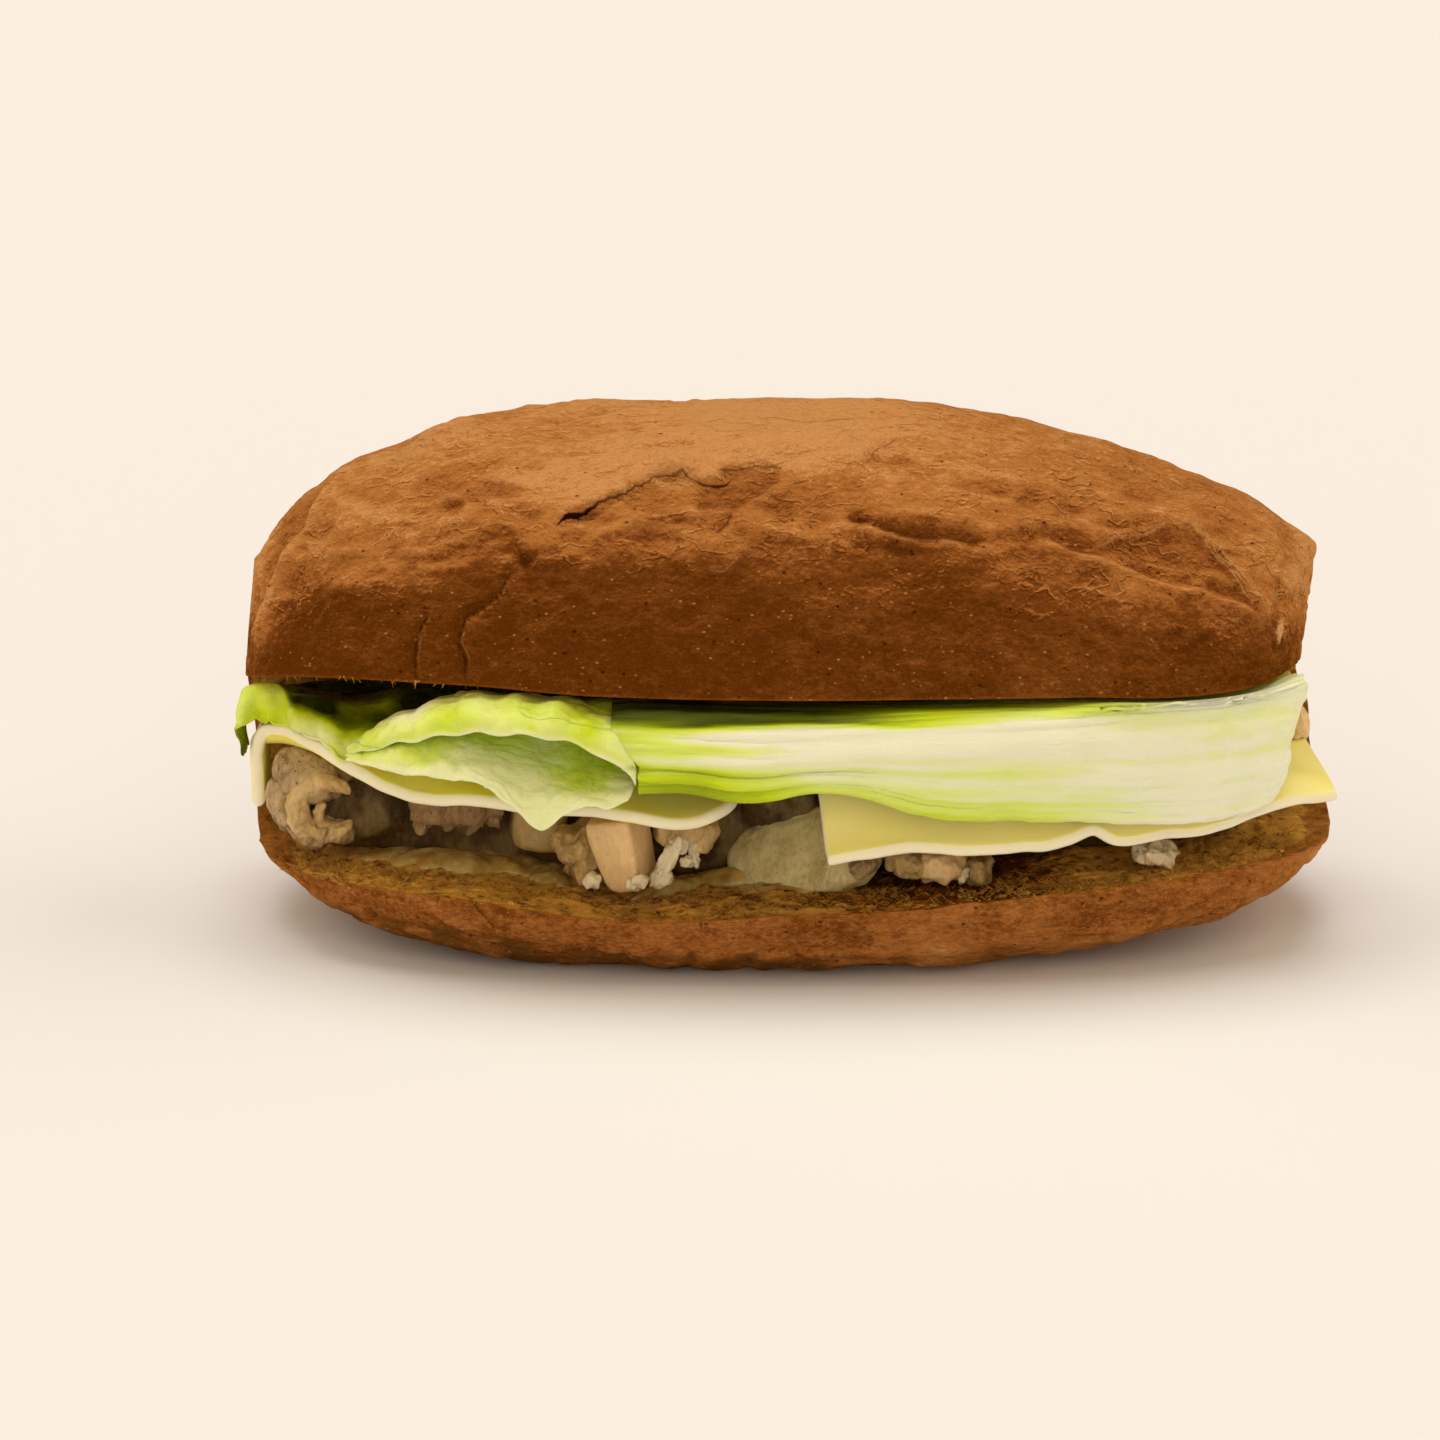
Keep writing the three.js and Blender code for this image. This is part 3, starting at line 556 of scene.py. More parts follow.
# Marks: [name, groove depth, half width, step, its reach, half width and painted shading of the drawn line,
# places].
# Places are [mm along, degrees round]; a step lifts the left side; shading above 0 paints a shadow in the
# crack, and below 0 a pale painted highlight on its edge.
MARKS = [
    ["long tear", 0.5, 0.6, 2.1, 4.2, 0.06, 1.0, [
        [-36.6, 46.6], [-35, 49], [-33.7, 50.5], [-29.1, 53.2], [-25.2, 55.9], [-21.6, 59.3],
        [-18.9, 61.1], [-16, 62.1], [-15, 60.6], [-13.1, 59.2], [-9.5, 60.4], [-7.9, 63.8],
    ]],
    ["flap of the tear", -0.4, 0.8, 0.9, 2, 0, 0, [
        [-26, 59.5], [-24, 62.6], [-22.1, 64.7], [-21, 65.4], [-19.7, 64.2], [-18.1, 63],
        [-15.3, 63.4], [-13.3, 61.6],
    ]],
    ["lip of the tear", -0.5, 0.7, 0.0, 1, 0, 0, [
        [-40, 42.4], [-37.6, 44.2], [-35.4, 46.4], [-32, 48.2], [-28, 51.4], [-22, 57.2],
    ]],
    ["short tear", 0.3, 0.6, 1.5, 3, 0.07, 0.8, [
        [-11, 63.2], [-9.8, 64], [-8.7, 64.4], [-5.3, 64.7], [-3.4, 63.9], [-1.5, 63.8], [0, 63],
    ]],
    ["short tear lip", -0.3, 0.6, 0, 1, 0.05, -0.3, [[-8.7, 66], [-5.3, 66.6], [-3, 65.6], [-1, 65.2]]],
    ["tear crease", 0.5, 0.9, 1.2, 3, 0.05, 0.5, [
        [-0.4, 62], [-2.4, 59.6], [-4.4, 57.6], [-7.5, 54], [-8.7, 52.2],
    ]],
    ["tear foot", 0.6, 0.8, 0.3, 1, 0.12, 0.6, [[-8.5, 51.6], [-9.2, 48.5], [-11, 46.3]]],
    ["crown crack", 0.45, 0.7, 0.4, 1, 0.1, 0.55, [
        [-5.5, 84.4], [-3.9, 84.1], [-1, 84.6], [3.2, 82.8], [7.2, 83.7], [11.7, 83.2],
    ]],
    ["crown line", 0.3, 0.8, 0.5, 2, 0.04, 0.25, [
        [-34, 79], [-24, 82], [-12, 82.5], [-2, 80.5], [6, 79], [14, 77],
    ]],
    ["small crack", 0.45, 0.7, 0.5, 1.6, 0.06, 0.5, [
        [11.7, 63.4], [13.3, 66.8], [14, 69.8], [15, 72.2], [16.6, 74], [18.2, 76],
    ]],
    ["small crack branch", 0.4, 0.7, 0.4, 1.4, 0.05, 0.35, [[13.4, 67.4], [16.5, 66.8], [20, 67.8]]],
    ["short fold", 0.5, 0.9, 0.7, 2, 0.03, 0.3, [[-3.2, 66.3], [-0.4, 66.4], [2.3, 67.8], [6, 69]]],
    ["fold", 0.9, 1.3, 1.5, 3.2, 0.05, 0.35, [
        [9, 50.4], [11.5, 50], [14.6, 48.6], [18, 47.6], [22.4, 47.4], [27.9, 46.8], [32, 46.2],
    ]],
    ["fold lip", -0.7, 1.0, -0.3, 2, 0.05, -0.25, [
        [3, 44.8], [6.1, 46.6], [10.8, 47.4], [14.6, 45.8], [17.7, 44.5], [22.4, 44.3],
        [27.9, 44.5], [31, 44.2],
    ]],
    ["fold foot", 0.45, 0.9, 0.5, 2, 0.03, 0.25, [
        [9, 42], [11.5, 43], [14.6, 43.4], [18.5, 42.6], [24, 42.2],
    ]],
    ["right ridge", -0.9, 1.0, -1.5, 3.6, 0.07, -0.6, [
        [38, 49], [44.4, 46.4], [49.2, 45.3], [53.2, 44.6], [57.8, 43.1], [61, 42], [64.9, 42.4], [68, 41],
        [71.9, 40], [74.3, 39.2], [75.6, 36.4],
    ]],
    ["right arc", -0.6, 0.7, 1.5, 3, 0.07, -0.5, [
        [47.7, 47.7], [51, 52], [54.2, 55.7], [59.2, 60.2], [64.1, 61.6], [68.9, 57.6], [72.8, 48.5],
        [76.2, 40.2], [78.1, 33.4],
    ]],
    ["inner arc", -0.5, 0.6, 0.9, 2, 0.06, -0.6, [[66, 59.5], [70, 53], [72.4, 46], [74.6, 40]]],
    ["end crease", 0.5, 0.8, 0.6, 2.4, 0.05, 0.3, [[78.6, 52], [78.5, 46], [78.3, 37.8], [78, 26]]],
    ["end gloss", -0.4, 0.6, 0, 1, 0.3, -1.4, [[79.2, 37.5], [79, 34.4], [78.8, 32.4], [78.6, 29]]],
    ["left crack a", 0.55, 0.5, 0.6, 1.6, 0.08, 0.85, [
        [-55.4, 31.5], [-56.6, 29.6], [-57.5, 27.3], [-57.9, 25.1], [-58.2, 21.7], [-57.9, 17],
    ]],
    ["left crack a edge", -0.3, 0.5, 0, 1, 0.04, -0.2, [
        [-54.8, 31.8], [-55.8, 29.8], [-56.8, 27.3], [-57.2, 25.1], [-57.5, 21.7], [-57.2, 17],
    ]],
    ["left crack b", 0.6, 0.5, 0.7, 1.8, 0.08, 0.85, [
        [-42.6, 38.5], [-43.7, 36.7], [-44.6, 34.1], [-46.2, 31.9], [-50.1, 29.4], [-51.4, 25],
        [-50.1, 22.1], [-50.3, 16],
    ]],
    ["left crack b edge", -0.3, 0.5, 0, 1, 0.04, -0.22, [
        [-42, 38], [-43, 36.2], [-44, 33.5], [-45.7, 31], [-49.6, 28.5], [-50.7, 25],
        [-49.4, 22], [-49.6, 16],
    ]],
    ["left facet", -1.0, 1.9, -2.6, 6, 0, 0, [
        [-85.6, 22], [-84.4, 35.2], [-82.6, 45], [-81, 51], [-78.6, 60], [-76.6, 68.5], [-74.6, 75],
        [-72.9, 81.3], [-71, 87], [-66.5, 90.7], [-62, 92],
    ]],
    ["left facet line", -0.3, 0.9, 0, 1, 0.05, -0.14, [
        [-85.4, 20], [-84.6, 28], [-83.6, 34], [-81.6, 44], [-79, 54], [-76, 65], [-73.6, 75],
    ]],
    ["star a", 0.5, 0.8, 0, 1, 0.05, 0.35, [
        [-42.6, 46], [-41, 42], [-40.7, 40.6], [-40.2, 37], [-39.3, 32.5],
    ]],
    ["star b", 0.4, 0.7, 0.7, 2, 0.05, -0.16, [
        [-45.6, 37], [-43.4, 38.6], [-40.7, 40.6], [-38, 41.8], [-34.4, 41.6],
    ]],
    ["star c", 0.5, 0.8, 0, 1, 0, 0, [
        [-44.5, 44.5], [-42.8, 42.6], [-40.7, 40.6], [-38.4, 43.6], [-36.6, 45.2],
    ]],
    ["left wrinkle", -0.55, 0.8, 0.7, 2, 0.04, -0.16, [
        [-58.1, 41.5], [-55.7, 41.9], [-53.3, 40.7], [-49.4, 40.3],
    ]],
    ["left fold", -0.5, 1.2, 0.8, 3, 0, 0, [[-62, 47], [-57, 45], [-52, 46.5], [-47, 49], [-43, 50]]],
    ["high fold", -0.6, 1.4, 0.9, 3, 0, 0, [
        [-64, 62], [-58, 59], [-53, 60], [-47, 63], [-43, 61], [-38, 57],
    ]],
    ["upper fold", 0.5, 1.2, 0.8, 3, 0, 0, [[-40, 68], [-33, 71], [-26, 70], [-20, 73], [-12, 72]]],
    ["middle wrinkle", -0.45, 0.8, 0.6, 1.6, 0.04, -0.16, [
        [-39.9, 40.1], [-37.6, 40.6], [-35.2, 40.1], [-32.1, 41.4],
    ]],
    ["middle fold", -0.5, 1.3, -0.7, 3, 0, 0, [[-33, 45], [-27, 47], [-21, 51], [-16, 52], [-11, 49]]],
    ["low fold", -0.5, 1.2, 0.6, 3, 0, 0, [[-9, 50], [-4, 47], [1, 45], [6, 44], [12, 40]]],
    ["right wrinkle", -0.5, 0.8, 0.5, 1.6, 0.05, -0.25, [
        [-12.5, 38], [-10, 38.4], [-8.3, 39.8], [-6.9, 41.4],
    ]],
    ["right fold", -0.5, 1.3, 0.9, 3, 0, 0, [[30, 47], [35, 50], [40, 53], [46, 54], [50, 52]]],
    ["base crack a", 0.4, 0.5, 0.5, 1, 0.08, 0.6, [[-55.7, -8], [-54.6, -12.2], [-55.1, -17]]],
    ["base crack b", 0.5, 0.6, 0.6, 1.4, 0.08, 0.6, [
        [-51.4, -9], [-49.8, -14.1], [-48.4, -19], [-46, -27],
    ]],
    ["base fold", 0.9, 1.1, 0.8, 2, 0.06, 0.5, [
        [-47, -30], [-43, -35], [-36, -36], [-30, -39], [-22, -39],
    ]],
    ["base fold b", 0.8, 1.0, 0.6, 2, 0.05, 0.4, [[-58, -22], [-52, -31], [-46, -39], [-40, -44]]],
    ["base crack c", 0.3, 0.4, 0.3, 1, 0.06, 0.5, [[-68.7, -12], [-69.3, -22]]],
    ["base crease", 0.25, 0.5, 0.2, 1, 0.04, 0.5, [[-13.4, -9], [-13.2, -21]]],
]  # fmt: skip
# Marks that gape near their first end.
GAPING = ("long tear",)
# Hollows in the crust: [mm along, degrees round, half length, half height, depth].
HOLLOWS = [
    [-36.1, 88.5, 1.9, 1.7, 1.0], [-33.4, 92.5, 2.2, 1.4, 0.9], [-30, 91, 1.8, 1.2, 0.8],
    [-5, 60, 4.2, 2.6, 1.2], [60, 51, 11, 5.5, 1.5], [22, 50, 7, 2.2, 0.7], [70, 44, 5, 3, 0.7],
    [-58, 46, 6, 4, 0.6], [-24, 66, 9, 4, -0.6], [8, 72, 12, 6, -0.6], [16, 66, 5, 4, 0.5],
    [-50, 66, 8, 6, 0.6], [-66, 60, 6, 8, -0.6], [-22, 50, 8, 4, -0.6], [-62.3, 52, 1.4, 1.1, -0.5],
    [25, 45.2, 1.4, 0.9, -0.4], [27, 35, 1, 0.9, -0.4], [-40.7, 40.6, 1.6, 1.4, 0.7], [-4, 45, 7, 4, -0.5],
    [3, 88, 5, 2, 0.6], [30, 62, 5, 5, -0.4], [40, 55, 6, 4, 0.4], [-9, 56, 8, 3.4, 0.9],
    [1, 57, 9, 4, 0.7], [-54, 92, 6, 9, -1.3], [-70, 40, 5, 4, -0.5], [-50, 54, 5, 3, -0.6],
    [-45, 60, 5, 3, 0.6], [-58, 64, 4, 3, 0.5], [-30, 40, 6, 3, -0.4],
]  # fmt: skip


def from_line(x, s, places):
    """Signed distance from a line of places, positive to its left, and 0 to 1 along it."""
    line = np.array(places, float) * (1, MM_A_DEGREE)
    lengths = np.linalg.norm(np.diff(line, axis=0), axis=1)
    starts = np.concatenate([[0], np.cumsum(lengths)])
    nearest = np.full(len(x), 1e9)
    side, share = np.ones(len(x)), np.zeros(len(x))
    for a, b, length, start in zip(line[:-1], line[1:], lengths, starts):
        d = (b - a) / length
        px, ps = x - a[0], s - a[1]
        t = np.clip(px * d[0] + ps * d[1], 0, length)
        distance = np.hypot(px - t * d[0], ps - t * d[1])
        closer = distance < nearest
        nearest = np.where(closer, distance, nearest)
        side = np.where(closer, np.where(d[0] * ps - d[1] * px >= 0, 1, -1), side)
        share = np.where(closer, (start + t) / starts[-1], share)
    return nearest * side, share


def crust_marks(x, degrees):
    """What the marks do to the crust: height in mm, and the drawn line's side, half width and painted
    shading, a shadow above 0 and a highlight below 0.
    """
    s = degrees * MM_A_DEGREE
    height, side = np.zeros(len(x)), np.full(len(x), 3.0)
    width, painted_shading = np.zeros(len(x)), np.zeros(len(x))
    flat = np.stack([x, s, 0 * x], 1)
    wobble = 0.4 * noise(flat, 2.6, 40) + 0.09 * noise(flat, 1.1, 41)
    for name, depth, half, step, reach, line_half, dark, places in MARKS:
        low, high = np.min(places, 0), np.max(places, 0)
        near = (x > low[0] - 10) & (x < high[0] + 10) & (degrees > low[1] - 12) & (degrees < high[1] + 12)
        near = np.flatnonzero(near)
        away, share = from_line(x[near], s[near] + wobble[near], places)
        taper = ease(np.minimum(share, 1 - share) * 7)
        distance = np.abs(away)
        height[near] -= depth * taper * np.exp(-((distance / half) ** 2))
        fall = np.exp(-distance / reach) * clamp(1.6 - distance / reach / 2)
        height[near] += step / 2 * taper * fall * np.tanh(away / 0.8)
        drawn = near[(distance < 1.4) & (line_half > 0) & (distance < np.abs(side[near]))]
        chosen = np.isin(near, drawn)
        side[drawn] = away[chosen]
        gape = 1 + 3.4 * np.exp(-(((share[chosen] - 0.12) / 0.07) ** 2)) * (name in GAPING)
        uneven = 1 + 0.5 * noise(flat[drawn], 3.1, 43)
        width[drawn] = line_half * taper[chosen] * gape * uneven
        painted_shading[drawn] = dark * np.clip(0.1 + 0.6 * gape * uneven, 0, 1)
    for mid_x, mid_degrees, half_x, half_s, depth in HOLLOWS:
        reach = ((x - mid_x) / half_x) ** 2 + ((s - mid_degrees * MM_A_DEGREE) / half_s) ** 2
        height -= depth * np.exp(-reach)
    return height, side, width, painted_shading


def crust_height(p, degrees, relief):
    """How far the crust stands out from the plain roll, in mm."""
    x = p[:, 0]
    height = 0.6 * fractal(p, 24, 2, 1) + 0.3 * fractal(p, 8, 2, 2, (1.5, 1, 1))
    height -= 0.3 * creases(p, 7, 5, (1.6, 1, 1)) * ease(noise(p, 30, 6) + 0.6)
    height += 0.11 * noise(p, 2.2, 7, (1.4, 1, 1)) + 0.05 * noise(p, 1.2, 16)
    wrinkles = 0.5 * ridges(p, 7.5, 13, (1.5, 1, 0.9)) + 0.36 * ridges(p, 3.6, 14, (1.6, 1, 0.8))
    height += hill(degrees, 56, 18) * ease(noise(p, 14, 15) + 1.1) * wrinkles
    leather = 0.16 * ridges(p, 2.6, 17, (1.5, 1, 0.9)) * ease(noise(p, 9, 18) + 0.7)
    leather += 0.12 * ridges(p, 5.5, 19)
    height += ease((degrees - 16) / 14) * ease((160 - degrees) / 20) * leather
    slanted = np.stack([x + p[:, 2], p[:, 1] * 0.6, p[:, 2] - x], 1)
    shoulder = ease((x - 20) / 20) * ease((degrees - 45) / 20) * ease((125 - degrees) / 20)
    height += 0.26 * noise(slanted, 1.9, 8, (1, 2, 4.5)) * shoulder
    base = ease((-30 - degrees) / 6) * ease((degrees + 75) / 10)
    height += base * (0.6 * fractal(p, 5, 3, 9, (1.8, 1, 0.7)) - 0.6 * creases(p, 5, 3, (2, 1, 1)))
    return relief * (height + crust_marks(x, degrees)[0])


def whole_roll(bread):
    """The outside of the roll, closed, before it is slit."""
    along_front = spread(lambda s: skin(s, math.pi), -LAST_SWEEP, LAST_SWEEP, bread.steps_along)

    def density(p):
        front = ease((14 - p[:, 1]) / 12)
        return mix(0.32, 1.0, front) * mix(1, mix(0.3, 1, front), ease((8 - p[:, 2]) / 3))

    count = bread.steps_around
    dense = spread(lambda a: skin(0 * a, a), 0, 2 * math.pi, count + 1, density)[:-1]
    even = 2 * math.pi * np.arange(count) / count
    share = ease((np.abs(along_front) - 1.4) / (LAST_SWEEP - 1.4))[:, None]
    angles = mix(dense[None], even[None], share)
    plain = skin(along_front[:, None], angles)
    wrapped = np.concatenate([plain[:, -1:], plain, plain[:, :1]], 1)
    normal = grid_normals(wrapped)[:, 1:-1]
    halfway = len(plain) // 2
    outward = plain[halfway] - plain[halfway].mean(0)
    if (normal[halfway] * outward).sum() < 0:
        normal = -normal
    height = crust_height(plain.reshape(-1, 3), 180 - np.degrees(angles).ravel(), bread.relief)
    height = height.reshape(angles.shape) * ease((LAST_SWEEP - np.abs(along_front)) / 0.03)[:, None]
    grid = plain + normal * height[..., None]
    grid[..., 2] = np.where(plain[..., 2] < ON_THE_FLOOR, 0, np.maximum(grid[..., 2], 0))
    return loft(grid, count // 2)


def crumb_height(p, torn):
    """How far the crumb is torn or pressed out of its plain cut, in mm; below 0 is into the bread."""
    hole = 1 - ease(pits(p, 3.0, 1) / 0.5)
    small = 1 - ease(pits(p, 1.6, 2) / 0.55)
    fibre = 0.3 * ridges(p, 1.5, 21, (2.4, 0.9, 1)) + 0.24 * ridges(p, 3.4, 23, (1.6, 1, 1))
    swell = 0.6 * fractal(p, 8, 3, 22)
    return torn * (swell + fibre - 1.1 * hole - 0.7 * small)


def slit_room(margin, steps=None, torn=0.0):
    """The room inside the slit roll, inset by a margin and reaching out past the front and the ends."""
    if steps is None:
        x = np.linspace(-ROOM_HALF_LENGTH, ROOM_HALF_LENGTH, 41)
        depth = 1 - (1 - np.linspace(0, 1, 9)) ** 1.6
    else:
        fine = np.linspace(-92, 93, steps[0])
        x = np.concatenate([[-ROOM_HALF_LENGTH, -95], fine, [96, ROOM_HALF_LENGTH]])
        shown, hidden = np.linspace(0.27, 0.62, steps[1]), np.linspace(0.62, 1, steps[1] // 5)
        depth = np.concatenate([[0], shown, hidden[1:]])
    x = x[:, None]
    wall = back_wall(x) - margin
    y = mix(ROOM_FRONT, wall - WALL_ROUND, depth[None])
    low, high = floor_at(x, wall) + margin, roof_at(x, wall) - margin
    xs = np.broadcast_to(x, y.shape)
    turn = np.array([[0.2, 0.5, 0.8]])
    rings = np.concatenate([
        np.stack([xs, y, floor_at(x, y) + margin], -1),
        np.stack(np.broadcast_arrays(x, wall, mix(low, high, turn)), -1),
        np.stack([xs, y, roof_at(x, y) - margin], -1)[:, ::-1],
    ], 1)  # fmt: skip
    if torn:
        flat = rings.reshape(-1, 3)
        count = depth.size
        up = np.zeros(rings.shape[:2])
        up[:, :count], up[:, -count:] = 1, -1
        move = crumb_height(flat, torn).reshape(up.shape) * up
        inside = depth_inside(flat).reshape(up.shape)
        rim = np.where(up > 0, ease(1.9 - inside / 1.3), ease((8 - inside) / 3))
        move = mix(move, np.clip(move, -0.16, 0.16) * np.where(up > 0, 1, 0.1), rim)
        rings[..., 2] += move
    return loft(rings, rings.shape[1] - 1)


def crust_paint(bread):
    # A trace of metal gives the crust a sheen of its own colour without a white haze at its edges.
    paint = Paint("crust", Specular_IOR_Level=0.0, Specular_Tint=(1.0, 0.66, 0.36, 1), Metallic=0.1)
    cloud = paint.noise(13, 3, 0.6)
    mottle = paint.noise(3.2, 4, 0.62, (1.5, 1, 1))
    fine = paint.noise(0.9, 3, 0.65, (1.8, 1, 0.9))
    patchy = paint.band(paint.noise(9, 3, 0.6), 0.36, 0.62)
    wrinkled = paint.times(patchy, paint.number("wrinkled"))
    # Wrinkle lines painted dark as shade, each with a painted highlight on the lip beside it.
    wrinkle = paint.times(paint.threads(5.2, 0.03, (1.6, 1, 1)), wrinkled)
    wrinkle_highlight = paint.times(paint.threads(5.2, 0.035, (1.6, 1, 1), (0, -0.22, -0.22)), wrinkled)
    # Besides the baked colour and its painted shade, wrinkle lines and hollows are painted darker as shade,
    # and their lips, raised parts and relief that faces the light are painted lighter as highlight.
    bake = paint.total(
        (wrinkle, 0.42), (wrinkle_highlight, -0.5), (paint.number("bake"), 1.0), (cloud, 0.5),
        (mottle, 0.5), (fine, 0.4), (paint.number("rise"), -0.2), (paint.number("lit"), -0.34),
        (paint.relief_facing_light(2.8, (1.2, 1, 1)), -1.1), (paint.relief_facing_light(1.1, (1.2, 1, 1)), -1.3),
    )  # fmt: skip
    bake = paint.math("MULTIPLY_ADD", bake, 0.8, -0.36)
    # From the palest crown to the darkest low side: the baked colours with a painted sheen on top and painted
    # shade low down.
    colour = paint.ramp(bake, [
        (0.0, bread.sheen_colour), (0.2, bread.crown_colour), (0.44, bread.shoulder_colour),
        (0.7, bread.side_colour), (1.0, bread.low_colour),
    ])  # fmt: skip
    dull = paint.times(paint.number("dull"), paint.band(paint.noise(5, 4, 0.6), 0.3, 0.6))
    colour = paint.blend(dull, colour, bread.base_colour)
    speck = paint.band(paint.cells(1.6, (1.6, 1, 1)), 0.14, 0.07)
    grain = paint.times(paint.band(paint.cells(1.7, (1.6, 1, 0.8)), 0.12, 0.05), patchy)
    haze = paint.times(paint.band(paint.noise(0.5, 4, 0.75, (1.3, 1, 0.9)), 0.58, 0.74), 0.16)
    haze = paint.times(haze, paint.band(paint.noise(5, 3, 0.6), 0.4, 0.64))
    pale_bits = paint.larger(paint.larger(paint.times(speck, 0.5), paint.times(grain, 0.5)), haze)
    colour = paint.blend(pale_bits, colour, bread.fleck_colour)
    pore = paint.band(paint.cells(2.9, (1.3, 1, 1)), 0.1, 0.05)
    dark_grain = paint.times(paint.band(paint.cells(1.3, (1.6, 1, 1)), 0.17, 0.08), 0.3)
    pores = paint.larger(paint.times(pore, 0.7), paint.times(dark_grain, cloud))
    colour = paint.blend(pores, colour, bread.pore_and_crack_shadow_colour)
    # The drawn lines: a painted shadow in the cracks and a painted highlight along their lit edges.
    side, width, painted_shading = (paint.number(n) for n in ("crack_side", "crack_width", "crack_ink"))
    distance = paint.math("SUBTRACT", paint.math("ABSOLUTE", side), width)
    line = paint.times(paint.band(distance, 0.16, -0.05), paint.band(width, 0.0, 0.04))
    dark = paint.times(line, paint.larger(painted_shading, 0.0))
    pale = paint.times(line, paint.larger(paint.times(painted_shading, -1.0), 0.0))
    colour = paint.blend(dark, colour, bread.pore_and_crack_shadow_colour)
    colour = paint.blend(paint.math("MINIMUM", pale, 1.0), colour, bread.gloss_colour)
    rim = paint.math("ADD", paint.number("rim"), paint.times(mottle, 1.0))
    colour = paint.blend(paint.times(paint.band(rim, 1.1, 0.4), 0.35), colour, bread.rim_colour)
    height = paint.total(
        (paint.noise(3.6, 5, 0.66, (1.4, 1, 1)), 1.9), (paint.noise(1.5, 4, 0.68, (1.5, 1, 1)), 1.5),
        (fine, 0.7), (paint.noise(0.42, 2, 0.6), 0.22), (pale_bits, 0.08), (pore, -0.25),
        (dark, -0.35), (wrinkle, -0.3),
    )  # fmt: skip
    return paint.finish(colour, paint.band(mottle, 0.3, 0.7, 0.26, 0.5), height)


def crumb_paint(bread):
    paint = Paint(
        "crumb", Specular_IOR_Level=0.15, Specular_Tint=(1.0, 0.7, 0.4, 1), Roughness=0.85,
        Subsurface_Weight=0.08, Subsurface_Radius=(1.0, 0.5, 0.2), Subsurface_Scale=0.0012,
    )  # fmt: skip
    fibre = paint.noise(1.3, 5, 0.72, (2.2, 0.8, 1), 0.8)
    patch = paint.noise(4, 3, 0.6)
    # The crumb's painted light along the roll lightens it at the ends and darkens it under the cheese.
    tone = paint.total((fibre, 1.7), (patch, 0.9), (paint.number("dry"), 0.34))
    tone = paint.math("SUBTRACT", tone, 0.86)
    colour = paint.ramp(tone, [
        (0.3, bread.crumb_deep_colour), (0.5, bread.crumb_colour), (0.7, bread.crumb_light_colour),
    ])  # fmt: skip
    # Painted shade in the crumb's holes.
    hole = paint.band(paint.cells(2.0, (1.4, 1, 1)), 0.38, 0.14)
    colour = paint.blend(paint.times(hole, 0.55), colour, bread.crumb_deep_colour)
    rim = paint.band(paint.math("ADD", paint.number("inside"), paint.times(patch, 1.6)), 2.4, 0.9)
    colour = paint.blend(paint.times(rim, 0.75), colour, bread.rim_colour)
    height = paint.total((fibre, 2.0), (hole, -0.8), (paint.noise(0.35, 2, 0.6), 0.25))
    return paint.finish(colour, paint.band(fibre, 0.3, 0.7, 0.6, 0.95), height)


# How dark the crust is painted, by share of the way from the waist up to the crown: its baked colour together
# with painted shade, darker low on the sides where the overhead light falls less.
BAKE_AND_SHADE = through([
    [0, 1.0], [0.42, 0.96], [0.545, 0.87], [0.65, 0.71], [0.745, 0.38], [0.84, 0.26], [0.93, 0.12],
    [1, 0.04],
])  # fmt: skip
# Places painted darker or paler, partly as painted shade and painted sheen: [mm along, half length, share of
# the way up, its half height, how much darker].
BAKE_AND_SHADE_SPOTS = [
    [-62, 13, 0.77, 0.085, -0.3],
    [-62, 12, 0.64, 0.06, 0.1],
    [9, 9, 0.9, 0.07, -0.3],
    [23, 20, 0.71, 0.09, 0.28],
]
# How light the crumb is painted along the roll: painted light towards the ends and painted shade where the
# cheese shades it.
CRUMB_PAINTED_LIGHT = through([
    [-80, 1.6], [-66, 1.3], [-54, 0.95], [-38, 1.4], [-14, 0.6], [2, 0.45], [18, -0.3], [34, -0.6],
    [50, 1.2], [66, 2.2],
])  # fmt: skip


def crease_between_materials(mesh):
    """Marks the edges where crust and crumb meet as sharp."""
    count = len(mesh.polygons)
    material, sides = np.empty(count, np.int32), np.empty(count, np.int32)
    mesh.polygons.foreach_get("material_index", material)
    mesh.polygons.foreach_get("loop_total", sides)
    edge = np.empty(len(mesh.loops), np.int32)
    mesh.loops.foreach_get("edge_index", edge)
    low, high = np.full(len(mesh.edges), 9), np.full(len(mesh.edges), -1)
    np.minimum.at(low, edge, np.repeat(material, sides))
    np.maximum.at(high, edge, np.repeat(material, sides))
    mesh.attributes.new("sharp_edge", "BOOLEAN", "EDGE").data.foreach_set("value", low != high)


def share_of_height(p):
    """How far up from the waist to the crown a point is, as unevenly as an oven bakes."""
    x = p[:, 0]
    share = (p[:, 2] - WAIST) / (crown(nominal(p)[0]) - WAIST)
    share = share + 0.055 * noise(p, 20, 32) + 0.035 * noise(p, 8, 33, (1.4, 1, 1))
    share += 0.03 * ease((-44 - x) / 14) + 0.05 * ease((x - 46) / 16)
    return share - 0.04 * hill(x, 14, 10)


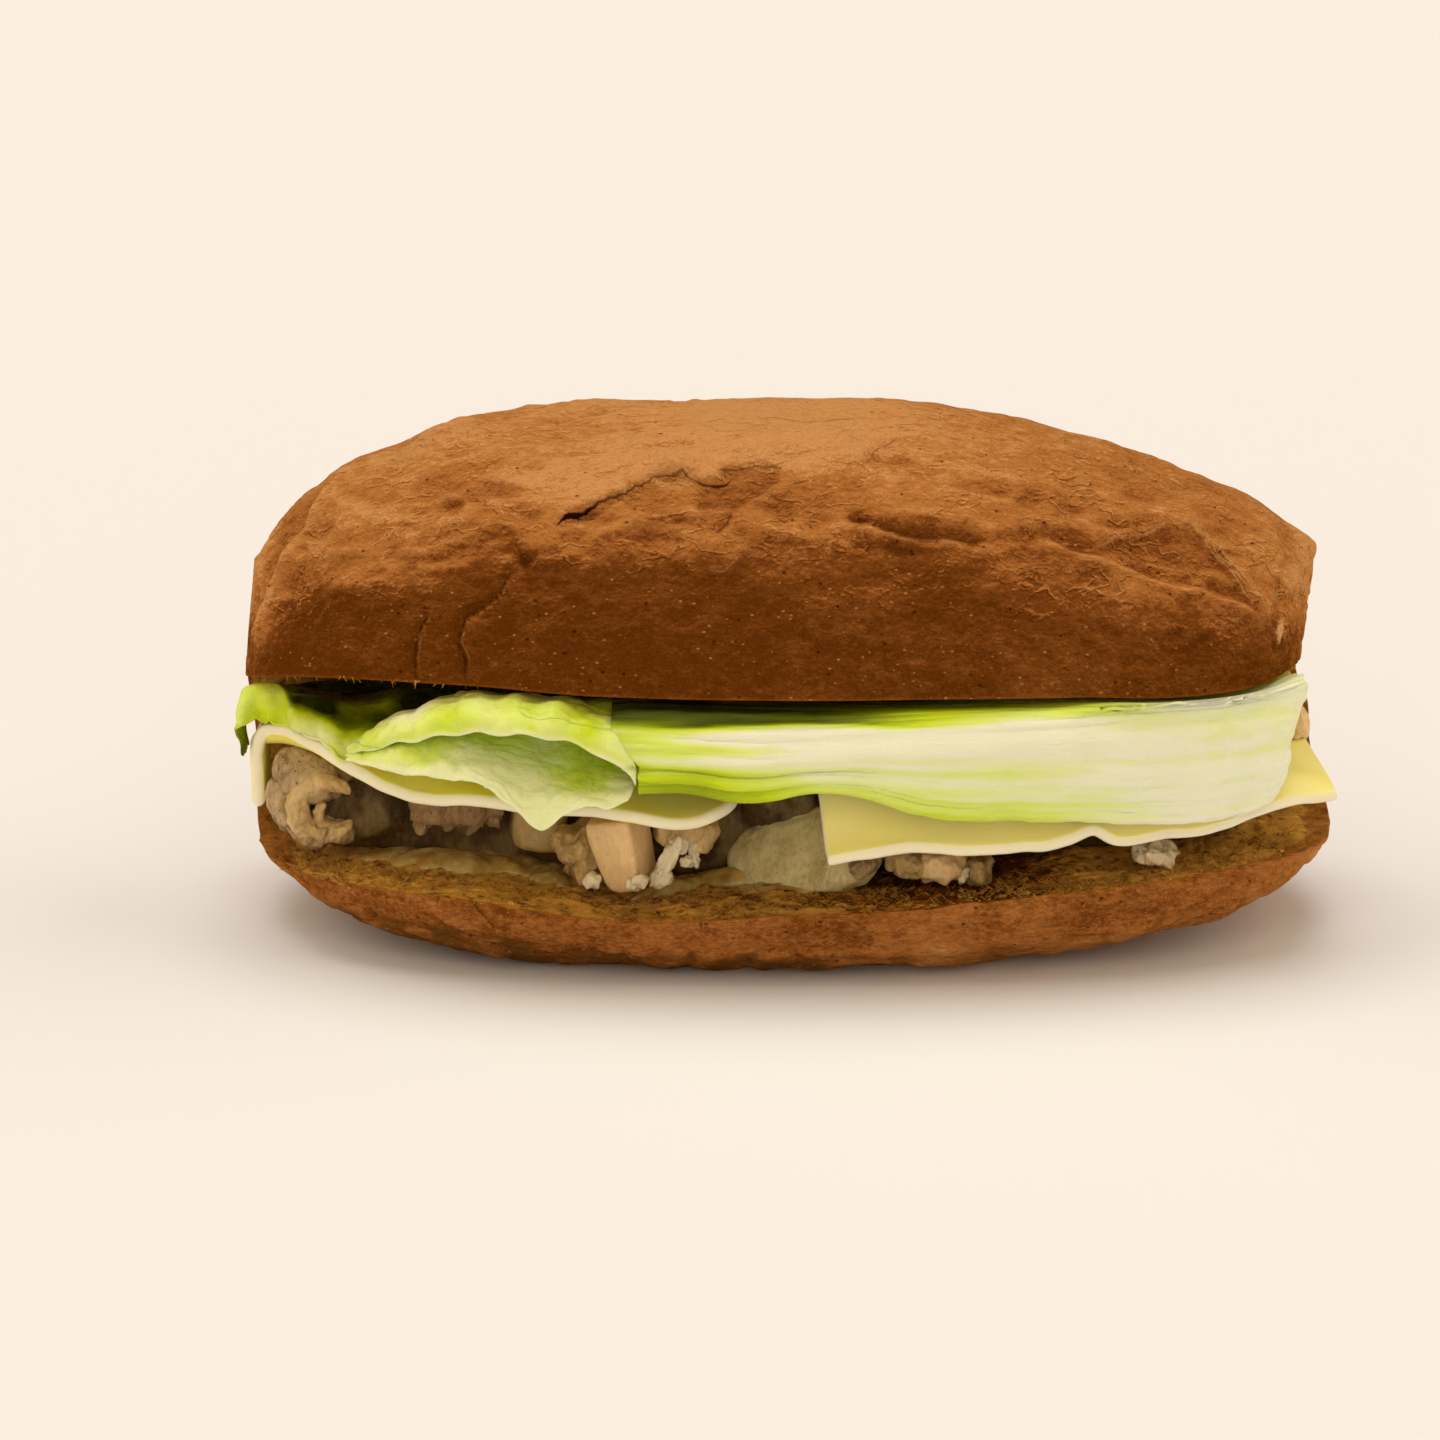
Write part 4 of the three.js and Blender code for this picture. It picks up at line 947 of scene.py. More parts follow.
def crust_bake_and_shade(p, degrees, share, behind):
    """How dark the crust is painted at each point, from 0 to 1: its baked colour with painted shade low on
    the sides and a painted sheen on the crown.
    """
    x, y, z = p.T
    lower = 0.38 - 0.05 * ease((np.abs(x) - 50) / 20) + 0.12 * hill(x, -64, 9)
    lower -= 0.3 * ease(x / 20) * ease((9 - z) / 4)
    upper = BAKE_AND_SHADE(share) * np.where(behind, 0.8, 1)
    above_seam = np.where(behind, ease((z - 12) / 44), z > SEAM_HEIGHT)
    bake = mix(lower, upper, above_seam) + 0.06 * noise(p, 18, 31)
    # A painted sheen on the middle of the crown.
    bake -= 0.36 * hill(x, -11, 36) * ease((share - 0.8) / 0.14) * ease((30 - y) / 22)
    for mid_x, half_length, mid_share, half_height, darker in BAKE_AND_SHADE_SPOTS:
        bake += darker * hill(x, mid_x, half_length) * hill(share, mid_share, half_height)
    # Painted shade below the long tear.
    bake += 0.24 * hill(x, -14, 13) * hill(degrees, 53, 6)
    bake += 0.1 * ease((x - 46) / 10) * ease((share - 0.8) / 0.1)
    bake -= 0.1 * ease(x / 24) * ease((0.64 - share) / 0.1) * (z > SEAM_HEIGHT)
    return bake - 0.4 * ease((np.abs(x) - 80) / 5)


# A small step inwards and up along the crust, towards the light, and its length, in mm.
LIGHT_STEP_IN, LIGHT_STEP_UP, LIGHT_STEP = 0.45, 0.5, 0.67


def build_bun(bread):
    """The roll, cut open, with the numbers that its crust and crumb are painted by."""
    bun = new_object("roll_crust_and_crumb", *whole_roll(bread), crust_paint(bread))
    room = slit_room(0, (bread.steps_along, bread.steps_deep), bread.tear)
    cut(bun, "DIFFERENCE", [new_object("slit", *room, crumb_paint(bread))])
    mesh = bun.data
    p = coordinates(mesh)
    x, y, z = p.T
    degrees = degrees_round(p)
    _, side, width, painted_shading = crust_marks(x, degrees)
    share = share_of_height(p)
    behind = y > back_wall(x)
    inside = depth_inside(p)
    # The relief's height, and how far it faces the light, let the paint lay painted shade in hollows and a
    # painted highlight on raised relief that faces the light.
    rise = crust_height(p, degrees, 1.0)
    inwards = np.where(y < 0, LIGHT_STEP_IN, -LIGHT_STEP_IN)
    above = p + np.stack([0 * x, inwards, 0 * x + LIGHT_STEP_UP], 1)
    lit = (rise - crust_height(above, degrees_round(above), 1.0)) / LIGHT_STEP
    border = hill(x, -50, 16)
    dull = ease((-33 + 7 * border - degrees) / 8) * ease((9 + 4 * border - z) / 3)
    dull *= 1 - 0.6 * ease((x - 6) / 20)
    give(
        mesh,
        crack_side=side,
        crack_width=width,
        crack_ink=painted_shading,
        bake=crust_bake_and_shade(p, degrees, share, behind),
        dull=dull,
        rim=np.where(behind, 9, np.maximum(z - roof_at(x, y), floor_at(x, y) - z)),
        wrinkled=np.where(z > SEAM_HEIGHT, mix(0.25, 0.85, ease((share - 0.5) / 0.22)), 0.2),
        rise=np.clip(rise, -0.8, 0.9),
        lit=np.clip(lit, -0.4, 0.6),
        inside=inside - 4 * ease((np.abs(x) - 76) / 5),
        dry=CRUMB_PAINTED_LIGHT(x) + 0.3 * ease((5 - inside) / 4),
    )
    crease_between_materials(mesh)
    finish_piece(bun, ["bun"])


# ---- cheese ----

# How high a slice lies inside the roll.
CHEESE_HEIGHT = 33
# A slice's mesh steps and size along its front edge and into the roll, and how far in its edge is rounded.
SLICE_STEPS, SLICE_SIZE, SLICE_ROUNDING, SLICE_THIN_EDGE = (190, 90), (85, 58), 0.75, 0.16
# Edges of the slices in front and at the back, and the share of the depth over which the front droops.
SLICES = {
    "cheese_left": dict(
        droop=0.3,
        front=along([
            [-7.5, -35.5, 29.5], [-16, -37.5, 27.4], [-28, -37, 28.9], [-39, -36, 29.2],
            [-49, -33.5, 29.8], [-59, -29.5, 29.1], [-68, -25, 31.9], [-75, -19.5, 34.5],
            [-80.4, -14.5, 35.8], [-84, -12.6, 34.8], [-85.3, -12, 30.8], [-85.3, -12, 26.4],
            [-85.2, -12, 21.9],
        ]),
        back=along([
            [-9, 21, 32], [-30, 23, 32], [-48, 20, 32.4], [-62, 13, 33], [-74, 5, 34], [-80.4, 0, 35.2],
            [-84, -1.6, 33.4], [-84.8, -2, 29], [-84.8, -2.5, 24],
        ]),
    ),
    "cheese_right": dict(
        droop=0.16,
        front=along([
            [6.7, -39, 21.6], [13, -39, 22.7], [19.5, -38.8, 23.7], [29, -38.2, 23.2], [39, -37.4, 23.2],
            [44, -36.8, 24.2], [48.4, -36, 25.7], [52.5, -35, 23.5], [59.7, -33, 23.9], [67, -31.3, 24],
            [78, -27.8, 27.2], [88.2, -24, 27.9],
        ]),
        back=along([[-6.5, 22, 32.5], [30, 23, 32.5], [52, 18, 32.5], [70, 9, 33], [84, 3, 32]]),
    ),
}  # fmt: skip
# Corners that are rounded off: share of the slice's length and of its depth.
CORNERS = {"cheese_left": (0.05, 0.07)}
# How far the colour of a slice goes over to its paler clouds, as painted light: the right slice is painted
# paler as lit, and the left one kept deeper yellow as in the leaves' shade.
PALER = {"cheese_left": 0.0, "cheese_right": 0.64}


def cheese_place(name):
    """The flat surface of a slice: u runs along its front edge, v from the front to the back."""
    piece = SLICES[name]

    def place(u, v):
        front, back = piece["front"](u), piece["back"](u)
        straight = mix(front[:, 2], back[:, 2], v)
        lying = mix(front[:, 2], mix(CHEESE_HEIGHT, back[:, 2], v), ease(v / piece["droop"]))
        height = mix(straight, lying, clamp((1 - u) * 6))
        return np.stack([mix(front[:, 0], back[:, 0], v), mix(front[:, 1], back[:, 1], v), height], -1)

    return place


def cheese_paint(filling):
    paint = Paint(
        "cheese", Roughness=0.34, Specular_IOR_Level=0.35,
        Subsurface_Weight=0.3, Subsurface_Radius=(1.0, 0.8, 0.35), Subsurface_Scale=0.003,
    )  # fmt: skip
    cloud = paint.noise(9, 3, 0.55)
    colour = paint.ramp(cloud, [(0.3, filling.cheese_colour), (0.85, filling.cheese_light_colour)])
    # Painted light: the lit slice paler than the shaded one.
    colour = paint.blend(paint.number("paler"), colour, filling.cheese_light_colour)
    rim = paint.band(paint.math("ADD", paint.number("edge"), paint.times(cloud, 0.8)), 1.05, 0.5)
    colour = paint.blend(rim, colour, filling.cheese_cut_colour)
    height = paint.total((paint.noise(2.4, 3, 0.5), 0.07), (paint.noise(0.5, 2, 0.5), 0.012))
    return paint.finish(colour, paint.band(cloud, 0.3, 0.7, 0.28, 0.42), height)


def wavy_slice(name):
    """The surface of a slice with its waves and rounded corners."""
    place, corner = cheese_place(name), CORNERS.get(name)

    def surface(u, v):
        if corner:
            length, depth = corner
            near = clamp(1 - u / length)
            v = mix(depth * (1 - np.sqrt(1 - near**2)), 1, v)
        p = place(u, v)
        front = 1 - ease(v / 0.1)
        p[:, 2] += 0.12 * fractal(p, 11, 2, 61) + front * 0.22 * noise(p, 3.4, 62)
        p[:, 1] += front * 0.3 * noise(p, 5, 63)
        return p

    return surface


def build_cheese(filling):
    """Both slices, with the paler cut edge marked."""
    paint = cheese_paint(filling)
    u, v = (fine_ends(count, size, 0.9) for count, size in zip(SLICE_STEPS, SLICE_SIZE))
    thickness = filling.cheese_thickness / MM
    for name in SLICES:
        points, faces, edge = sheet(wavy_slice(name), u, v, thickness, SLICE_ROUNDING, SLICE_THIN_EDGE)
        made = new_object(name + "_slice", points, faces, paint)
        give(made.data, edge=edge, paler=np.full(len(points), PALER[name]))
        finish_piece(made, [name])


# ---- lettuce ----

LEAF_THICKNESS = 1.1
# Along the ribbed leaf: where it comes out under the upper half, where it turns down, and its lower edge.
rib_seam = through([[-28, 46.3], [0, 46.4], [27, 46.2], [52, 45.4], [75, 44.2], [84, 44.8]])
rib_brow = through([[-28, 42.8], [2, 41.8], [27, 43.8], [84, 43]])
rib_hem = through([
    [-28, 32.6], [-17, 33.8], [-9, 32.4], [-2, 32.4], [5, 33.6], [14, 32.2], [24, 29.4], [49, 27.8],
    [62, 26.6], [70, 26.6], [76, 27.4],
])  # fmt: skip
# How far right the ribbed leaf reaches, from its hidden edge down to its lower one.
rib_right = through([
    [0, 82.6], [0.4, 82.6], [0.58, 83.2], [0.68, 81.4], [0.8, 80.3], [0.9, 79.2], [0.96, 77.4], [1, 73.8],
])  # fmt: skip


def rib_section(x, v):
    """Across the ribbed leaf at x, in y and z: v runs from its hidden edge down to its lower one."""
    lip_edge = -HALF_WIDTH * plan_taper(x * 0.97 / HALF_LENGTH)
    inner = np.minimum(10, back_wall(x) - 4)
    middle = mix(inner, lip_edge, 0.5)
    brow, hem = rib_brow(x), rib_hem(x)
    hug = ease((x - 34) / 22)
    seam = np.minimum(roof_at(x, lip_edge + 5) - 1.9, rib_seam(x) - 0.2)
    under_lip = lip_edge + mix(5, 0.7, hug)
    stops = [
        (inner, roof_at(x, inner) - 2.2),
        (middle, roof_at(x, middle) - 2.4),
        (under_lip, mix(seam, roof_at(x, under_lip) - 0.9, hug)),
        (lip_edge - 1.2, brow + 1.2 * hug),
        (lip_edge - 2.6, mix(brow, hem, 0.55)),
        (lip_edge - 1.6, hem),
    ]
    section = across([np.stack(s, -1) for s in stops], v)
    ripple = 0.45 * np.sin(x * 0.21) + 0.25 * np.sin(x * 0.53 + 2 * v)
    section[:, 0] += ripple * ease(v)
    return section


def rib_place(u, v):
    right = rib_right(v)
    height = rib_section(mix(-27.3, right, u), v)[:, 1]
    slant = clamp((43.5 - height) / 5.5)
    x = mix(mix(-27.3, -23.1, slant), right, u)
    return np.column_stack([x, rib_section(x, v)])


FOLD_LEFT, FOLD_RIGHT = -69.6, -24
# Lines along the curled leaf, from its outer top edge round the hollow to its hanging edge: [x, y, z].
FOLD_LINES = [
    through(rows)
    for rows in (
        [
            [-69.6, -29, 35.8], [-63.7, -33, 38.5], [-57.2, -37, 40.9], [-48.6, -39.6, 42.7],
            [-33.3, -42, 42.2], [-24, -42.8, 39],
        ],
        [
            [-69.6, -28.4, 36.2], [-60.5, -34.6, 41.8], [-48, -38.4, 45.4], [-35, -39.8, 45.6],
            [-24, -41.4, 41.4],
        ],
        [
            [-69.6, -27.5, 36.6], [-60.5, -31.5, 42.8], [-54, -33, 45.2], [-47, -34, 46.6],
            [-35, -35, 46.6], [-24, -37, 43.4],
        ],
        [[-69.6, -27, 36.4], [-60, -26.5, 41.8], [-48, -25.5, 44.6], [-24, -26, 43.2]],
        [[-69.6, -26.6, 36], [-60, -24, 38.8], [-48, -22.3, 40.6], [-24, -23, 40]],
        [
            [-69.6, -27.4, 35.8], [-60, -27, 38.2], [-52, -26.5, 39.2], [-44, -27, 37.8],
            [-36, -27.5, 36.6], [-24, -28, 36.4],
        ],
        [
            [-69.6, -28, 35.5], [-60.5, -33.4, 38], [-54, -34.2, 39.4], [-48, -34.8, 38.4],
            [-44, -35.8, 36.8], [-38, -37.2, 34.2], [-32, -38.5, 33.6], [-24, -40, 34],
        ],
        [
            [-69.6, -28.8, 35], [-60.5, -36.6, 35.3], [-53, -40, 35.2], [-47, -41, 34.4],
            [-42.6, -42.3, 31], [-38.8, -43, 27.8], [-35.4, -43, 30.4], [-31.5, -43, 31.8],
            [-27.5, -43, 31.4], [-24, -42.8, 32.6],
        ],
    )
]  # fmt: skip


def fold_place(u, v):
    """The curled leaf, a C in section whose right end is drawn shut."""
    x = mix(FOLD_LEFT, FOLD_RIGHT, u)
    shut = 1 - np.sqrt(1 - (0.98 * clamp((u - 0.8) / 0.2)) ** 2)
    stops = [line(x) for line in FOLD_LINES]
    stops[0][:, 1] = mix(stops[0][:, 1], stops[-1][:, 1] + 1.4, shut)
    stops[1][:, 1] = mix(stops[1][:, 1], stops[0][:, 1] + 4, 0.6 * shut)
    section = across(stops, v)
    round_end = 1 - np.sqrt(1 - (0.97 * clamp((u - 0.86) / 0.14)) ** 2)
    section = mix(section, np.array([-39, 37.2]), 0.1 * round_end[:, None])
    right = FOLD_RIGHT + 0.8 - 0.45 * np.maximum(0, section[:, 1] - 38)
    right -= 0.35 * np.maximum(0, 35.4 - section[:, 1]) ** 1.5 * ease((u - 0.86) / 0.14)
    section[:, 1] += 0.3 * np.sin(0.9 * x) * ease(1 - v)
    return np.column_stack([mix(FOLD_LEFT, right, u), section])


# The front and the back edge of the frilled leaf, from right to left: [x, y, z].
frill_front = along([
    [-28, -18, 42.6], [-38, -18.5, 42.6], [-48, -18, 41], [-57, -18, 38.2], [-63, -21.7, 35.3],
    [-69.4, -24, 34.2], [-74, -21.2, 35.7], [-78.4, -17.6, 36.8], [-82, -14.6, 37.3], [-85.2, -13, 37.2],
    [-87.6, -12.4, 35.4], [-85.8, -13, 30.4],
])  # fmt: skip
frill_back = along([
    [-28, 12, 37.8], [-48, 12, 37.8], [-58, 10, 37.8], [-67, 6, 38.2], [-76, 2, 38.8],
    [-83, -3, 39.4], [-87.2, -4.5, 37.2], [-88, -4.5, 33.4],
])  # fmt: skip


def frill_place(u, v):
    """The frilled leaf, which lies on the left slice and hangs over the left end."""
    p = mix(frill_front(u), frill_back(u), v[:, None])
    hang = ease((u - 0.8) / 0.2)
    p[:, 0] -= 0.35 * hang * (1 + np.sin(11 * v + 1))
    front = 1 - ease(v / 0.3)
    frills = np.sin(61 * u + 1.6 * np.sin(17 * u)) * (0.6 + 0.4 * np.sin(23 * u + 2))
    p[:, 2] += 0.5 * np.sin(9 * u) * np.sin(math.pi * v) + 0.35 * front * frills * ease((u - 0.3) / 0.2)
    p[:, 1] += 0.8 * front * np.sin(47 * u + 1) * ease((u - 0.4) / 0.2)
    swell = ease(u / 0.3) * ease((0.97 - u) / 0.1)
    bulge = np.sin(math.pi * clamp((v - 0.04) / 0.72) ** 0.8)
    ripple = 0.5 * np.sin(24 * u) * ease(v / 0.1) * (1 - ease(v / 0.5))
    p[:, 2] += swell * (3.9 * bulge + ripple) - 0.35 * front * swell
    return p


def lettuce_paint(name, leaf, pale, grain):
    paint = Paint(
        name, Roughness=0.32, Specular_IOR_Level=0.2, Specular_Tint=(0.9, 1.0, 0.45, 1),
        Coat_Weight=0.04, Coat_Roughness=0.14,
        Subsurface_Weight=0.35, Subsurface_Radius=(1.0, 1.0, 0.8), Subsurface_Scale=0.0025,
    )  # fmt: skip
    patch = paint.noise(4, 3, 0.6, grain)
    # A leaf's tone carries its painted shade and highlight as well as its own greens.
    tone = paint.math("ADD", paint.number("pale"), paint.math("MULTIPLY_ADD", patch, 0.36, -0.18))
    colour = paint.ramp(tone, [
        (0.0, leaf.painted_shade_green), (0.25, leaf.dark_green), (0.52, leaf.green), (0.76, leaf.light_green),
        (1.0, pale),
    ])  # fmt: skip
    colour = paint.blend(paint.times(paint.number("vein"), 0.55), colour, leaf.vein_and_gloss_colour)
    blister = paint.noise(1.3, 4, 0.6, grain)
    height = paint.total((blister, 0.32), (paint.noise(0.4, 2, 0.5), 0.05), (paint.number("vein"), 0.14))
    return paint.finish(colour, paint.band(patch, 0.35, 0.7, 0.2, 0.4), height)


def build_leaf(name, paint, node, place, relief, tone, counts, size, ragged):
    """A leaf with ragged edges, fine relief, and the numbers that its material reads."""
    veins_and_gloss = {}

    def surface(u, v):
        flat = np.stack([u * size[0], v * size[1], 0 * u], 1)
        torn = [r * (0.5 + 0.5 * fractal(flat + 40 * k, 3.2, 3, 70 + k)) for k, r in enumerate(ragged)]
        inner_u = mix(torn[0] / size[0], 1 - torn[1] / size[0], u)
        inner_v = mix(torn[2] / size[1], 1 - torn[3] / size[1], v)
        p = place(inner_u, inner_v)
        normal = grid_normals(p.reshape(len(np.unique(u)), -1, 3)).reshape(-1, 3)
        height, veins_and_gloss["vein"] = relief(p, v)
        return p + normal * height[:, None]

    u, v = fine_ends(counts[0], size[0], 0.6), fine_ends(counts[1], size[1], 0.6)
    points, faces, _ = sheet(surface, u, v, LEAF_THICKNESS, 0.35, 0.5)
    made = new_object(name, points, faces, paint)
    down = np.tile(v, 2 * len(u))
    give(made.data, vein=np.tile(veins_and_gloss["vein"], 2), pale=tone(points, down))
    finish_piece(made, [node])


def rib_relief(p, v):
    lines = np.stack([p[:, 0], 60 * v, 0 * v], 1)
    left = ease((12 - p[:, 0]) / 30)
    bands = 0.42 * noise(lines, 3.4, 81, (20, 1, 1)) + 0.2 * noise(lines, 1.4, 82, (18, 1, 1))
    # The streaks are pale veins and painted glossy highlights along the ribs.
    streak = creases(lines, 2.8, 83, (26, 1, 1), 9) * ease(noise(lines, 6, 86, (3, 1, 1)) + 0.5)
    height = bands * mix(0.7, 1.9, left) + 0.25 * fractal(p, 9, 2, 84, (2, 1, 1)) + 0.1 * streak
    return height, streak * 0.7


# How pale the ribbed leaf is painted: [mm along the roll, curve of [height, 0 deep green to 1 white]]; its
# pale rib and green, with painted highlights along its ridges and painted shade where it goes in under the
# upper half.
RIB_TONES = [
    [-25, through([
        [30, 0.4], [36, 0.45], [38.6, 0.62], [39.4, 0.88], [41, 0.5], [43, 0.6], [44.2, 0.4], [45, 0.06],
    ])],
    [-13, through([
        [30, 0.35], [35.5, 0.38], [37.5, 0.56], [39.4, 0.98], [41, 0.6], [42.6, 1.0], [43.7, 0.7],
        [44.3, 0.04],
    ])],
    [5, through([[30, 0.5], [33, 0.62], [36, 0.86], [39.5, 0.96], [42, 1.05], [43.9, 0.9], [44.6, 0.08]])],
    [35, through([
        [27, 0.6], [30, 0.7], [33, 0.84], [37, 0.93], [40, 0.98], [43, 1.1], [45, 0.9], [47, 0.3],
    ])],
    [65, through([[26, 1.05], [34, 0.98], [42, 0.95], [47, 0.95]])],
]  # fmt: skip


def rib_tone(p, v):
    at = np.interp(p[:, 0], [x for x, _ in RIB_TONES], range(len(RIB_TONES)))
    left = np.minimum(at.astype(int), len(RIB_TONES) - 2)
    tones = np.stack([curve(p[:, 2]) for _, curve in RIB_TONES])
    row = np.arange(len(p))
    tone = mix(tones[left, row], tones[left + 1, row], at - left)
    lines = np.stack([p[:, 0], 60 * v, 0 * v], 1)
    tone = tone + 0.1 * noise(lines, 1.6, 87, (22, 1, 1)) + 0.05 * noise(lines, 0.6, 88, (22, 1, 1))
    # Painted shade on the part that turns in under the upper half, less where the leaf hugs the rim.
    return mix(tone, 0.05, ease((0.42 - v) / 0.2) * (1 - 0.8 * ease((p[:, 0] - 34) / 22)))


def fold_relief(p, _):
    net = creases(p, 6.5, 91, (1.5, 1, 1), 11)
    blister = 0.34 * fractal(p, 4.6, 3, 92) + 0.26 * ridges(p, 5, 94) + 0.1 * ridges(p, 2.2, 98)
    return blister - 0.2 * net, net * 0.6 * ease(noise(p, 8, 100) + 0.3)


def fold_tone(p, v):
    # Paler along both edges, partly pale leaf margin and partly painted highlight, and darker in the hollow
    # of the curl as painted shade.
    hem = ease(1 - (1 - v) / 0.06) * 0.5 + ease(1 - v / 0.05) * 0.25
    hollow = ease((v - 0.3) / 0.1) * ease((0.92 - v) / 0.12)
    lobe = hill(p[:, 0], -44, 7) * ease((v - 0.66) / 0.2)
    tone = 0.86 + hem + 0.3 * lobe - 0.13 * hollow + 0.26 * noise(p, 7, 93) + 0.1 * noise(p, 2.4, 99)
    return np.clip(tone, 0.3, 1.1)


def frill_relief(p, v):
    net = creases(p, 5, 95, (1, 1, 1), 10)
    rim = 1 - ease(v / 0.16)
    return 0.5 * fractal(p, 4, 3, 96) * (0.6 + rim), 0.3 * net * ease(noise(p, 7, 100))


def frill_tone(p, v):
    # Painted shade: the leaf is bright only along its front edge on the left, darker further in under the
    # roll and on the lobe that hangs over the end.
    reach = mix(0.07, 0.4, ease((-78.5 - p[:, 0]) / 4.5))
    front = 1 - ease((v - reach) / 0.14)
    left = ease((-62 - p[:, 0]) / 7)
    hanging = ease((36.2 - p[:, 2]) / 1.2) * ease((-83 - p[:, 0]) / 2)
    return np.clip(0.06 + 0.62 * front * left * (1 - 0.75 * hanging) + 0.3 * noise(p, 5, 97), 0, 1)


# Each leaf's node, shape, relief and tone, its mesh steps, its size, and how far its four edges are torn in.
LEAVES = {
    "leaf_ribbed": dict(
        node="lettuce_rib", place=rib_place, relief=rib_relief, tone=rib_tone,
        counts=(240, 150), size=(108, 62), ragged=(0.2, 0.9, 0, 0.7),
    ),
    "leaf_curled": dict(
        node="lettuce_fold", place=fold_place, relief=fold_relief, tone=fold_tone,
        counts=(150, 190), size=(46, 60), ragged=(0.8, 0.1, 0.6, 0.6),
    ),
    "leaf_frilled": dict(
        node="lettuce_frill", place=frill_place, relief=frill_relief, tone=frill_tone,
        counts=(190, 90), size=(70, 32), ragged=(0, 1.6, 0.7, 0),
    ),
}  # fmt: skip


def build_lettuce(leaf):
    """The three leaves, the ribbed one in a paler finish."""
    plain = lettuce_paint("lettuce_green", leaf, leaf.pale_green, (1.3, 1, 1))
    ribbed = lettuce_paint("lettuce_ribbed", leaf, leaf.rib_colour, (7, 1, 1))
    for name, shape in LEAVES.items():
        build_leaf(name, ribbed if name == "leaf_ribbed" else plain, **shape)


# ---- chicken ----

# Pieces that show: [place, size, turn in degrees, look, squareness, roughness, fineness of the mesh]; the
# shaded looks are darker copies of the meat, painted shade on pieces deep in the roll and under the cheese.
CHUNKS = [
    [[-76.2, -12, 27.8], [12.4, 12, 7.6], [0, 12, 12], "grey", 0.85, 0.24, 5],
    [[-80, -11.5, 22.8], [6, 10, 10], [0, -12, 0], "grey", 0.8, 0.34, 5],
    [[-75.4, -13, 18.8], [11, 9.5, 4.6], [0, 8, 0], "grey", 0.8, 0.36, 5],
    [[-69, -7, 21.5], [18, 13, 13], [0, -8, 20], "brown", 0.75, 0.12, 5],
    [[-52.6, -17, 24.2], [15.5, 10, 5.2], [0, 3, 8], "shaded_grey", 0.8, 0.5, 5],
    [[-58, -18, 22], [2.6, 3, 5.5], [0, 10, 0], "shaded_grey", 0.8, 0.4, 4],
    [[-54.3, -18, 22.4], [3.4, 3, 4], [0, -20, 0], "shaded_grey", 0.8, 0.4, 4],
    [[-50.2, -18, 21.8], [2.2, 3, 4.6], [0, 15, 0], "shaded_grey", 0.8, 0.4, 4],
    [[-46.8, -18, 22.4], [3, 3, 3.6], [0, -25, 0], "shaded_grey", 0.8, 0.4, 4],
    [[-39.7, -16.4, 21.4], [8.8, 10, 9], [0, 4, 4], "dull", 0.45, 0.12, 5],
    [[-32.4, -24, 18], [7, 9, 8.8], [0, 14, 10], "tan", 0.85, 0.6, 5],
    [[-25.6, -26.3, 19.6], [7.2, 8, 12.8], [4, -15, -24], "pink", 0.26, 0.07, 5],
    [[-16.2, -22.4, 22.4], [9.4, 10, 5.8], [0, -6, 0], "pale", 0.6, 0.24, 5],
    [[-12.8, -24.5, 21.2], [3.2, 5, 5.4], [0, 20, 0], "pale", 0.7, 0.3, 4],
    [[-0.6, -12, 23.6], [12, 11, 7.5], [0, -8, 0], "brown", 0.7, 0.4, 5],
    [[3.4, -19.8, 16.2], [27, 15, 5.2], [50, -28, 0], "coated", 0.6, 0.14, 5],
    [[12.3, -25, 17], [4.4, 10, 3], [0, -30, 0], "grey", 0.6, 0.4, 4],
    [[19.4, -25.6, 18], [6, 12, 4], [0, 6, 6], "tan", 0.7, 0.5, 5],
    [[25.2, -26, 17.8], [8.6, 12, 5.6], [6, 4, -8], "pink", 0.75, 0.34, 5],
    [[30.6, -25.2, 17], [4.4, 12, 4.8], [0, 30, 0], "tan", 0.8, 0.55, 4],
    [[59.4, -25.4, 18.6], [6.4, 6, 3], [8, 12, -12], "white", 0.75, 0.45, 5],
    [[68, -10, 22.5], [15, 13, 9], [0, 6, -20], "brown", 0.72, 0.3, 4],
    [[82.9, -4.4, 33.8], [4, 8.4, 5], [0, 8, 10], "pink", 0.8, 0.4, 4],
    [[82.8, -1.6, 37.2], [2.2, 5, 3.4], [0, -20, 0], "tan", 0.75, 0.4, 4],
]  # fmt: skip
# Curled shreds: middle, radii, degrees from end to end, thickness and seed.
CURLS = [
    ((-73.8, -16.8, 23.2), (5, 4.4), (38, 322), 1.45, 301),
    ((-72.4, -16, 22), (2.8, 2.4), (120, 330), 0.9, 302),
]
# How much further back a curl ends than it starts.
CURL_LEAN = 1.5
# How high the strings stand out on each look of the meat.
STRINGS = {
    "grey": 0.16, "pale": 0.1, "pink": 0.04, "white": 0.16, "tan": 0.26,
    "brown": 0.16, "coated": 0.04, "dull": 0.04, "shaded_grey": 0.18,
}  # fmt: skip
# The heap behind the pieces that show.
MOUND = dict(half_length=76, depth=15, height=14, middle=20)
PEPPER_COLOUR = srgb(62, 44, 30)
# Faces of the meat that meet at more than this many degrees stay sharp.
SHARP_MEAT = 60
# Air left between the chicken and the bread, and round the slices.
BREAD_GAP, SLICE_GAP = 0.12, 0.15


